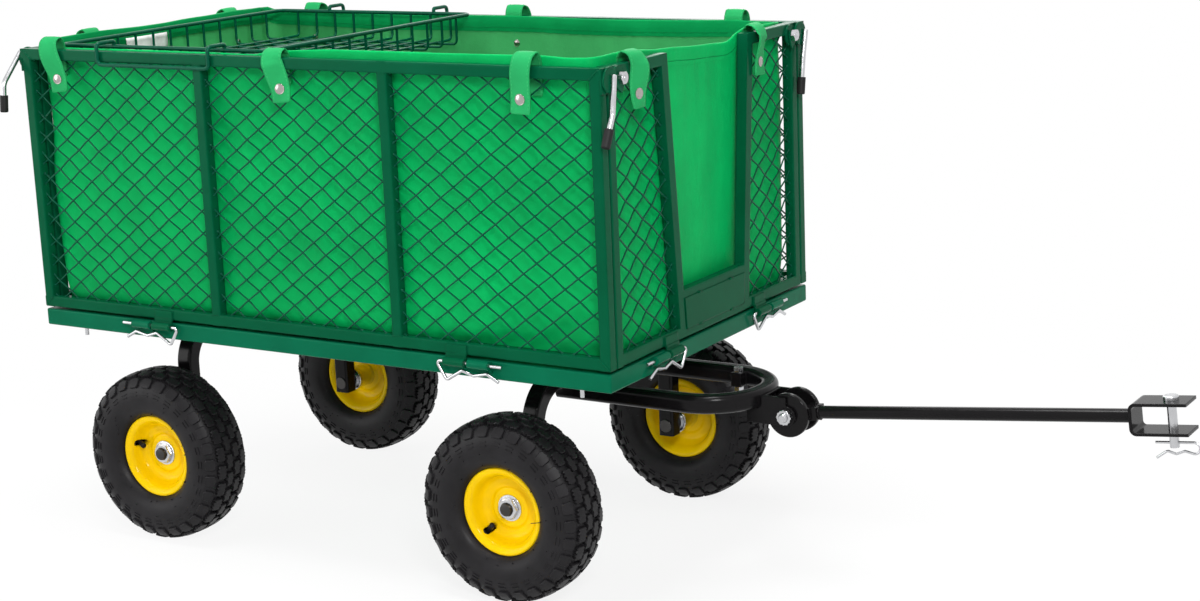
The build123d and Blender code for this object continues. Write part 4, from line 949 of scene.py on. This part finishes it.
def edge_rise(x, y, half_x, half_y):
    """Height of the cloth's top edge over the panels' top at a place on its plan."""
    if half_y - abs(y) < half_x - abs(x):
        wall, along = ("left" if y > 0 else "right"), x
    else:
        wall, along = ("front" if x > 0 else "rear"), y
    places, heights = zip(*EDGE_RISE[wall])
    return (np.interp(along / MM, places, heights) + EDGE_WAVE * ripple(x, y, 0, 14, 0, 0.3)) * MM


def liner_grid():
    """The bag's rows of points from the middle of its floor to its top edge."""
    low, _, half_x, half_y = liner_box()
    step = CLOTH_STEP * MM
    count = 2 * int(2 * (half_x + half_y) / step)
    floor_rows = int(half_y / step)
    floor_z = low.z + 1 * MM
    rows = []
    for k in range(floor_rows, 0, -1):
        inset = k * half_y / (floor_rows + 0.5)
        plan = rounded_plan(half_x - inset, half_y - inset, CLOTH_CORNERS, count)
        rows.append(np.c_[plan[:, 0] + BED.x, plan[:, 1], np.full(count, floor_z)])
    wall_rows = int((PANEL_TOP - floor_z) / step)
    plan = rounded_plan(half_x, half_y, CLOTH_CORNERS, count)
    rise = np.array([edge_rise(x, y, half_x, half_y) for x, y in plan])
    for k in range(wall_rows + 1):
        z = floor_z + (PANEL_TOP + rise - floor_z) * k / wall_rows
        rows.append(np.c_[plan[:, 0] + BED.x, plan[:, 1], z])
    return rows, count, floor_rows


def hang(obj, pins):
    """Lets the cloth hang from its pinned points."""
    obj.vertex_groups.new(name="pins").add(pins, 1.0, "REPLACE")
    cloth = obj.modifiers.new("cloth", "CLOTH")
    assign(cloth.settings, **CLOTH_SETTINGS)
    assign(cloth.point_cache, frame_start=1, frame_end=CLOTH_FRAMES)
    for step in range(1, CLOTH_FRAMES + 1):
        bpy.context.scene.frame_set(step)
    apply_modifiers(obj)
    obj.vertex_groups.clear()
    bpy.context.scene.frame_set(1)


def keep_inside(obj):
    """Keeps the cloth between the panels outside it and the tray inside it, and adds small creases."""
    low, high, half_x, half_y = liner_box()
    panel_y = abs(middle("panel_left_mesh").y) - PANEL_CLEAR * MM
    panel_x = abs(middle("panel_front_mesh").x - BED.x) - PANEL_CLEAR * MM
    tray_low, tray_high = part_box("wire_tray")
    from_x, from_y = (reach * MM for reach in WALLS_FROM)
    least_x, least_y = (reach * MM for reach in WALLS_LEAST)
    for v in obj.data.vertices:
        p = v.co
        x, y = p.x - BED.x, p.y
        ease = min(1.0, max(0.0, (high.z - STILL_TOP * MM - p.z) / (EASE_HEIGHT * MM)))
        crease = ripple(*p, 9, 6) * CREASE * MM
        crease += ripple(*p, 21, 17) * FINE_CREASE * MM * ease
        fold = (ripple(*p, 3.5, 5, 7) - 0.35) * FOLD * MM
        foot = max(0.0, 1 - (p.z - low.z) / (TUCK_HEIGHT * MM))
        tuck = foot ** 2 * TUCK * MM * (1 + 0.7 * ripple(*p, 7, 0, 3.1))
        crease += (fold - tuck) * ease
        if abs(y) > from_y:
            y += crease * copysign(1, y) * min(1.0, (abs(y) - from_y) / (half_y - from_y))
            margin = TRAY_MARGIN * MM
            beside = tray_low.x - margin < p.x < tray_high.x + margin and p.z > TRAY_FOOT * MM
            y = copysign(min(max(abs(y), BESIDE_TRAY * MM if beside else least_y), panel_y), y)
        if abs(x) > from_x:
            if x > 0:
                x = half_x + (x - half_x) * (1 - FRONT_FLAT * ease) if p.z > low.z + 5 * MM else x
                crease = crease * FRONT_CREASE
            else:
                crease += tuck * ease
            x += crease * copysign(1, x) * min(1.0, (abs(x) - from_x) / (half_x - from_x))
            x = copysign(min(max(abs(x), least_x), panel_x), x)
        v.co = (x + BED.x, y, p.z)


def make_liner():
    """Cloth bag held along its top edge, its walls hanging in soft folds, with a sewn hem."""
    rows, count, floor_rows = liner_grid()
    middle_seam = [[k + 1, k, count - 1 - k, count - 2 - k] for k in range(count // 2 - 1)]
    mesh = bpy.data.meshes.new("liner_bag")
    mesh.from_pydata(np.concatenate(rows).tolist(), [], quads(len(rows), count) + middle_seam)
    bag = linked("liner_bag", mesh)
    mesh.materials.append(CLOTH)
    mesh.materials.append(CLOTH_BACK)
    end = len(rows) * count
    hang(bag, [*range((floor_rows + 1) * count), *range(end - 2 * count, end)])
    keep_inside(bag)
    positions = np.array([v.co for v in bag.data.vertices])
    bag.data.shade_smooth()
    sheet_of(bag, CLOTH_THICK, material_offset=1)
    place(bag, "bed", "liner_cloth", "liner")
    hem = make_hem(positions.reshape(-1, count, 3))
    return positions


def make_hem(grid):
    """Folded band and stitch line along the top edge of the bag's rows of points."""
    up = np.array([0, 0, 1.0])
    edge = grid[-1]
    normal = np.cross(np.roll(edge, -1, 0) - np.roll(edge, 1, 0), up)
    normal /= np.linalg.norm(normal, axis=1)[:, None]
    rings = [grid[-1 - row] + (normal * out + up * rise) * HEM_SHELL * MM for row, out, rise in HEM_SECTION]
    build = Build()
    build.add(np.concatenate(rings), quads(len(rings), len(edge)))
    hem = build.make("liner_hem", CLOTH, 70)
    hem.data.materials.append(HEM_PAINTED_SHADE)
    # The hem's inner half takes the darker copy of the cloth, which paints in the shade inside the bag
    for face in hem.data.polygons:
        face.material_index = 1 if face.index >= HEM_TOP * len(edge) else 0
    place(hem, "bed", "liner_cloth")
    seam = Build()
    for sign in (1, -1):
        line = grid[-2] + (normal * sign * (HEM_SHELL + STITCH_RISE) - up * STITCH_DROP) * MM
        stitches(seam, [*line, line[0]])
    seam.put("liner_stitching", HEM_THREAD, 60, "bed", "liner_cloth")
    return hem


def stitches(build, line):
    """Row of short threads along a line."""
    lengths = run_lengths(line)
    columns = np.array(line).T

    def at(distance):
        return [np.interp(distance, lengths, column) for column in columns]

    pitch = (STITCH + STITCH_GAP) * MM
    for k in range(int(lengths[-1] / pitch)):
        tube(build, [at(k * pitch), at(k * pitch + STITCH * MM)], STITCH_RADIUS * MM, 5)


# Straps, press studs and label


def strap_frames(wall, at, drift, lift, turn, twist):
    """Points of a strap's middle line from the hem over the rail, with its width's and outward ways."""
    out = Vector(OUTWARDS[wall])
    along = Vector((abs(out.y), abs(out.x), 0))
    points = []
    for reach, up, loop, share in STRAP_PATH:
        p = BED + (out * (PANEL_OUT[wall] + reach) + along * (at + drift * share)) * MM
        points.append((p.x, p.y, PANEL_TOP + (up + lift * loop) * MM))
    points, rows = frames_along(smooth_line(points, 3))
    shares = smooth_line([(step[-1], 0, 0) for step in STRAP_PATH], 3)
    frames = []
    for p, (tangent, _, _), (share, _, _) in zip(points, rows, shares):
        lean = Matrix.Rotation(radians(turn) * share, 3, out)
        bell = radians(twist) * sin(pi * min(1.0, max(0.0, share)))
        wide = Matrix.Rotation(bell, 3, "Z") @ (lean @ along)
        wide = (wide - tangent * wide.dot(tangent)).normalized()
        frames.append((p, wide, tangent.cross(wide)))
    if frames[-1][2].dot(out) < 0:
        frames = [(p, wide, -normal) for p, wide, normal in frames]
    return frames, out


def strap_lengthwise(frames, share, rise=0.0):
    """Line along a strap at a share of its half width, on its rounded middle face or over it."""
    lift = (STRAP_PUFF * (1 - share * share) + rise) * MM
    return [p + wide * share * STRAP_WIDTH / 2 * MM + normal * lift for p, wide, normal in frames]


def make_straps(cloth):
    """Ten cloth straps with sewn edges and press studs, their inner halves set on the cloth."""
    studs, backs, seams = Build(), Build(), Build()
    for index, strap in enumerate(STRAPS):
        frames, out = strap_frames(*strap)
        columns = [strap_lengthwise(frames, k / (STRAP_COLUMNS - 1) * 2 - 1) for k in range(STRAP_COLUMNS)]
        build = Build()
        build.add([v for row in zip(*columns) for v in row], quads(len(frames), STRAP_COLUMNS, rings=False))
        band = build.make(f"strap_{index + 1:02d}", WEBBING, 80)
        sheet_of(band, STRAP_THICK)
        place(band, "bed", "strap_webbing", "liner_straps")
        for share, face in itertools.product((STRAP_SEAM, -STRAP_SEAM), (1, -1)):
            stitches(seams, strap_lengthwise(frames, share, face * STRAP_THICK / 2))
        tail = frames[len(frames) // 2:]
        p, _, normal = min(tail, key=lambda f: abs(f[0].z - PANEL_TOP + STUD_DROP * MM))
        stud(studs, p + normal * STUD_LIFT * MM, normal, 1.0)
        inside = p - out * LINER_BEHIND * MM
        nearest = cloth[np.argmin(np.linalg.norm(cloth - np.array(inside), axis=1))]
        inside += out * (Vector(nearest) - inside).dot(out)
        stud(backs, inside - out * STUD_BACK_LIFT * MM, -out, STUD_BACK_SIZE)
    studs.put("strap_studs", NICKEL, 30, "bed", "zinc", "liner_snaps")
    backs.put("liner_stud_backs", NICKEL, 30, "bed", "zinc")
    seams.put("strap_stitching", STRAP_THREAD, 60, "bed", "strap_webbing")


def stud(build, at, out, size):
    """Press stud cap: domed, with a rolled edge."""
    turn = Vector((0, 1, 0)).rotation_difference(out).to_matrix().to_4x4()
    lathe(build, [(r * size, y * size) for r, y in STUD_PROFILE], 28, move=Matrix.Translation(at) @ turn)


def make_label(cloth):
    """Blank care label sewn to the liner's rear wall inside."""
    y0, y1, z0, z1 = (edge * MM for edge in LABEL_CLOTH)
    x = max(x for x, y, z in cloth if x < BED.x and y0 < y < y1 and z0 < z < z1) + 2 * MM
    (left, foot), (wide, tall), (columns, rows) = LABEL_AT, LABEL_SIZE, LABEL_STEPS
    verts = []
    for i in range(columns + 1):
        for j in range(rows + 1):
            curl = 1.5 * sin(3.1 * i / columns) + sin(2.4 * j / rows + 0.5)
            verts.append((x + curl * MM, (left + wide * i / columns) * MM, (foot + tall * j / rows) * MM))
    build = Build()
    build.add(verts, quads(columns + 1, rows + 1, rings=False))
    label = build.make("blank_label", PAPER, 60)
    assign(label.modifiers.new("thick", "SOLIDIFY"), thickness=LABEL_THICK * MM)
    place(label, "bed", "strap_webbing")


# Latches


def cam_outline():
    """The cam's outline about its pivot, towards the panel's middle and up, with its slot."""
    inner, outer = CAM_ARM - CAM_SLOT, CAM_ARM + CAM_SLOT
    throat = [(CAM_ARM + a, b) for a, b in arc(CAM_SLOT, 0, -180, 12)]
    return (arc(CAM_ROUND, 10, 324, 44) + arc(CAM_TIP, -36, 10, 14) + arc(outer, 10, 0, 3)[:-1] + throat
            + arc(inner, 0, 10, 3)[1:])


def make_latches():
    """Painted cams with bright levers at the four corners."""
    outline = cam_outline()
    for end, side in itertools.product(ENDS, SIDES):
        body = f"latch_{end}_{side}"
        out_x, out_y = OUTWARDS[end][0], OUTWARDS[side][1]
        low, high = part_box(f"{body}_lever")
        pivot = Vector((low.x if out_x > 0 else high.x, out_y * LATCH_AT[0] * MM, LATCH_AT[1] * MM))
        plate = Build()
        plate.add([pivot + Vector((out_x * depth, -out_y * a, b)) * MM
                   for depth in (0.0, CAM_THICK) for a, b in outline], prism(len(outline)))
        cam = plate.make(f"{body}_cam", GREEN, 30)
        assign(cam.modifiers.new("edge", "BEVEL"), width=CAM_EDGE * MM, segments=2)
        place(cam, body, "green_frame", f"{body}_lever")
        reach = CAM_THICK + LEVER_ROUND - 1
        bends = LEVER_SHAPES[f"{end}_{side}"]
        line = [pivot + Vector((out_x * reach, out_y * out, up)) * MM for out, up in bends]
        bent = Build()
        tube(bent, rounded(line, LEVER_BEND * MM, 8), LEVER_ROUND * MM, 16)
        bent.put(f"{body}_rod", ZINC, 50, body, "zinc", f"{body}_lever")


# Tray


def make_tray():
    """Round-wire tray: rim, crossed wires bent up at their ends, and hooks over the side rails."""
    low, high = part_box("wire_tray")
    rim, wire, inset = TRAY_RIM * MM, TRAY_WIRE * MM, TRAY_INSET * MM
    rim_z = high.z - rim
    floor_z = low.z + wire + TRAY_FLOOR_RISE * MM
    x0, x1 = low.x + rim, high.x - rim
    y1 = TRAY_HALF * MM - rim
    build = Build()
    corners = [(x0, -y1, rim_z), (x1, -y1, rim_z), (x1, y1, rim_z), (x0, y1, rim_z)]
    tube(build, rounded(corners, RIM_BEND * MM, 6, closed=True), rim, 10, closed=True)
    wires = []
    for i in range(1, TRAY_COLUMNS):
        x, y, z = x0 + (x1 - x0) * i / TRAY_COLUMNS, y1 - inset, floor_z + wire
        wires.append([(x, -y, rim_z), (x, -y, z), (x, y, z), (x, y, rim_z)])
    for j in range(1, TRAY_ROWS):
        a, b, y = x0 + inset, x1 - inset, -y1 + 2 * y1 * j / TRAY_ROWS
        wires.append([(a, y, rim_z), (a, y, floor_z), (b, y, floor_z), (b, y, rim_z)])
    for line in wires:
        tube(build, rounded(line, WIRE_BEND * MM), wire)
    near, far = (BED.x + at * MM for at in HOOKS_AT)
    drop, arch = rim_z - HOOK_DROP * MM, rim_z + HOOK_ARCH * MM
    for sign in (-1, 1):
        start, end = sign * y1, sign * (high.y - rim)
        line = [(near, start, rim_z), (near, start, arch), (near, end, arch), (near, end, drop)]
        line += [(far, y, z) for _, y, z in reversed(line)]
        tube(build, rounded(line, HOOK_BEND * MM, 6), rim, 10)
    build.put("wire_tray_wires", GREEN_WIRE, 60, "tray", "coated_wire", "wire_tray")


# Welds


def weld(build, line, radius):
    """Lumpy bead along a line, its radius in millimetres."""
    points = [Vector(p) for p in line]
    finer = []
    for a, b in zip(points, points[1:]):
        steps = max(1, int((b - a).length / (WELD_STEP * MM)))
        finer += [a.lerp(b, k / steps) for k in range(steps)]
    finer.append(points[-1])
    draw = random.Random(next(WELD_SEEDS))
    tube(build, finer, [radius * MM * (0.82 + 0.36 * draw.random()) for _ in finer], 7)


def make_welds():
    """Weld beads where tubes meet, on the panels and the drawbar."""
    for side in SIDES:
        low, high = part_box(f"panel_{side}_mesh")
        out = OUTWARDS[side][1] * MM
        face = out * (PANEL_OUT[side] - 0.2)
        levels = ((low.z, MM), (high.z, -MM))
        build = Build()
        for x in (low.x, high.x):
            lean = copysign(MM, BED.x - x)
            for z, rise in levels:
                weld(build, [(x + lean * a, face, z + rise * b) for a, b in MITRE_WELD], 1.5)
        for post in (-POST_AT, POST_AT):
            x = BED.x + post * MM
            for z, rise in levels:
                for edge in (-POST_WELD, POST_WELD):
                    line = [(x + edge * MM, out * depth, z + rise * 0.4) for depth in POST_WELD_DEPTHS]
                    weld(build, line, 1.5)
                line = [(x + edge * MM, out * FACE_WELD_DEPTH, z) for edge in (-FACE_WELD, FACE_WELD)]
                weld(build, line, 1.2)
        build.put(f"panel_{side}_welds", GREEN, 70, f"panel_{side}", "green_frame")
    for end in ENDS:
        low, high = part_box(f"panel_{end}_plate")
        x = high.x if end == "front" else low.x
        build = Build()
        for y in (-TACK_AT, TACK_AT):
            for z in (low.z, high.z):
                weld(build, [(x, (y + half) * MM, z) for half in (-TACK_HALF, TACK_HALF)], 1.3)
        build.put(f"panel_{end}_tacks", GREEN, 70, f"panel_{end}", "green_frame")
    tilt = radians(DRAWBAR_TILT)
    along = Vector((cos(tilt), 0, sin(tilt)))
    side = along.orthogonal().normalized()
    up = along.cross(side)
    build = Build()
    for at, radius in DRAWBAR_RINGS:
        line = [DRAWBAR_PIVOT + (along * at + (side * a + up * b) * radius) * MM for a, b in circle(26)]
        weld(build, line + line[:1], 1.7)
    build.put("drawbar_welds", BLACK, 70, "drawbar", "black_frame")


# Finish of the CAD pieces that stay


def dress_cad():
    """Materials of the CAD nodes that show as they are."""
    finishes = {
        "green_frame": GREEN, "black_frame": BLACK, "zinc": ZINC, "hub_steel": STEEL, "grip_rubber": GRIP,
        "coated_wire": GREEN_WIRE, "yellow_rim": YELLOW, "tyre_rubber": RUBBER, "tube_rubber": RUBBER,
        "liner_cloth": CLOTH, "strap_webbing": WEBBING, "dark_steel": DARK_STEEL,
    }
    slots = {part["node"]: part["material_slot"] for part in frame["record"]["subparts"]}
    for name, obj in frame["nodes"].items():
        obj.data.materials.clear()
        # The bed frame and hinge sleeves get the lighter copy of the green, which paints in light bounced up
        # from the floor
        painted_bounce = name in ("bed_frame", "bed_hinge_sleeves")
        obj.data.materials.append(GREEN_PAINTED_BOUNCE if painted_bounce else finishes[slots[name]])


# Stage


def make_camera():
    """Camera at the photograph's place."""
    azimuth, elevation, roll = (radians(a) for a in (CAMERA_AZIMUTH, CAMERA_ELEVATION, CAMERA_ROLL))
    camera = linked("camera", bpy.data.cameras.new("camera"))
    assign(camera.data, sensor_width=SENSOR, lens=FOCAL_PIXELS / IMAGE_WIDTH * SENSOR)
    tilt = Matrix.Rotation(pi / 2 - elevation, 4, "X") @ Matrix.Rotation(roll, 4, "Z")
    camera.matrix_world = stood(BED + Vector(CAMERA_AT), -azimuth) @ tilt
    bpy.context.scene.camera = camera


def seen_rays(tree):
    """One for rays from the camera, mirrors and glass, nothing for light falling on surfaces."""
    path = node(tree, "LightPath").outputs
    mirrored = maths(tree, "MAXIMUM", path["Is Camera Ray"], path["Is Glossy Ray"])
    return maths(tree, "MAXIMUM", mirrored, path["Is Transmission Ray"])


def show_mix(tree, output, share, first, second):
    """Sends a mix of two shaders to the tree's output."""
    mix = node(tree, "MixShader", share, first.outputs[0], second.outputs[0])
    feed(tree, tree.nodes[output].inputs["Surface"], mix.outputs["Shader"])


def make_stage():
    """White studio: pale floor, white surroundings and soft lamps."""
    scene = bpy.context.scene
    scene.view_settings.view_transform = "Standard"
    scene.world = bpy.data.worlds.new("studio")
    scene.world.use_nodes = True
    tree = scene.world.node_tree
    lit = tree.nodes["Background"]
    lit.inputs["Color"].default_value = WHITE
    lit.inputs["Strength"].default_value = WORLD_LIGHT
    seen = node(tree, "Background", Color=WHITE, Strength=1.0)
    show_mix(tree, "World Output", seen_rays(tree), lit, seen)
    make_floor()
    centre = BED + Vector(LAMPS_AIM)
    for name, at, size, power in LAMPS:
        lamp = linked(name, bpy.data.lights.new(name, "AREA"))
        assign(lamp.data, shape="DISK", size=size, energy=power)
        lamp.location = BED + Vector(at)
        lamp.rotation_mode = "QUATERNION"
        lamp.rotation_quaternion = (centre - lamp.location).to_track_quat("-Z", "Y")


def make_floor():
    """Pale floor that keeps the shadow near the object and turns white further out."""
    mesh = bpy.data.meshes.new("floor")
    r = FLOOR_REACH
    mesh.from_pydata([(-r, -r, 0), (r, -r, 0), (r, r, 0), (-r, r, 0)], [], [[0, 1, 2, 3]])
    mat = bpy.data.materials.new("pale_floor")
    mat.use_nodes = True
    tree = mat.node_tree
    tree.nodes.remove(tree.nodes["Principled BSDF"])
    matte = node(tree, "BsdfDiffuse", Color=FLOOR_COLOUR)
    white = node(tree, "Emission", Color=WHITE, Strength=1.0)
    where = node(tree, "TexCoord").outputs["Object"]
    away = node(tree, "VectorMath", where, operation="LENGTH").outputs["Value"]
    fade = node(tree, "MapRange", away, *FLOOR_FADE).outputs["Result"]
    show_mix(tree, "Material Output", maths(tree, "MULTIPLY", fade, seen_rays(tree)), matte, white)
    mesh.materials.append(mat)
    linked("floor", mesh)


make_camera()
make_stage()
dress_cad()
liner_cloth = make_liner()
make_straps(liner_cloth)
make_label(liner_cloth)
make_latches()
make_wheels()
make_axle_ends()
make_meshes()
make_tray()
make_welds()
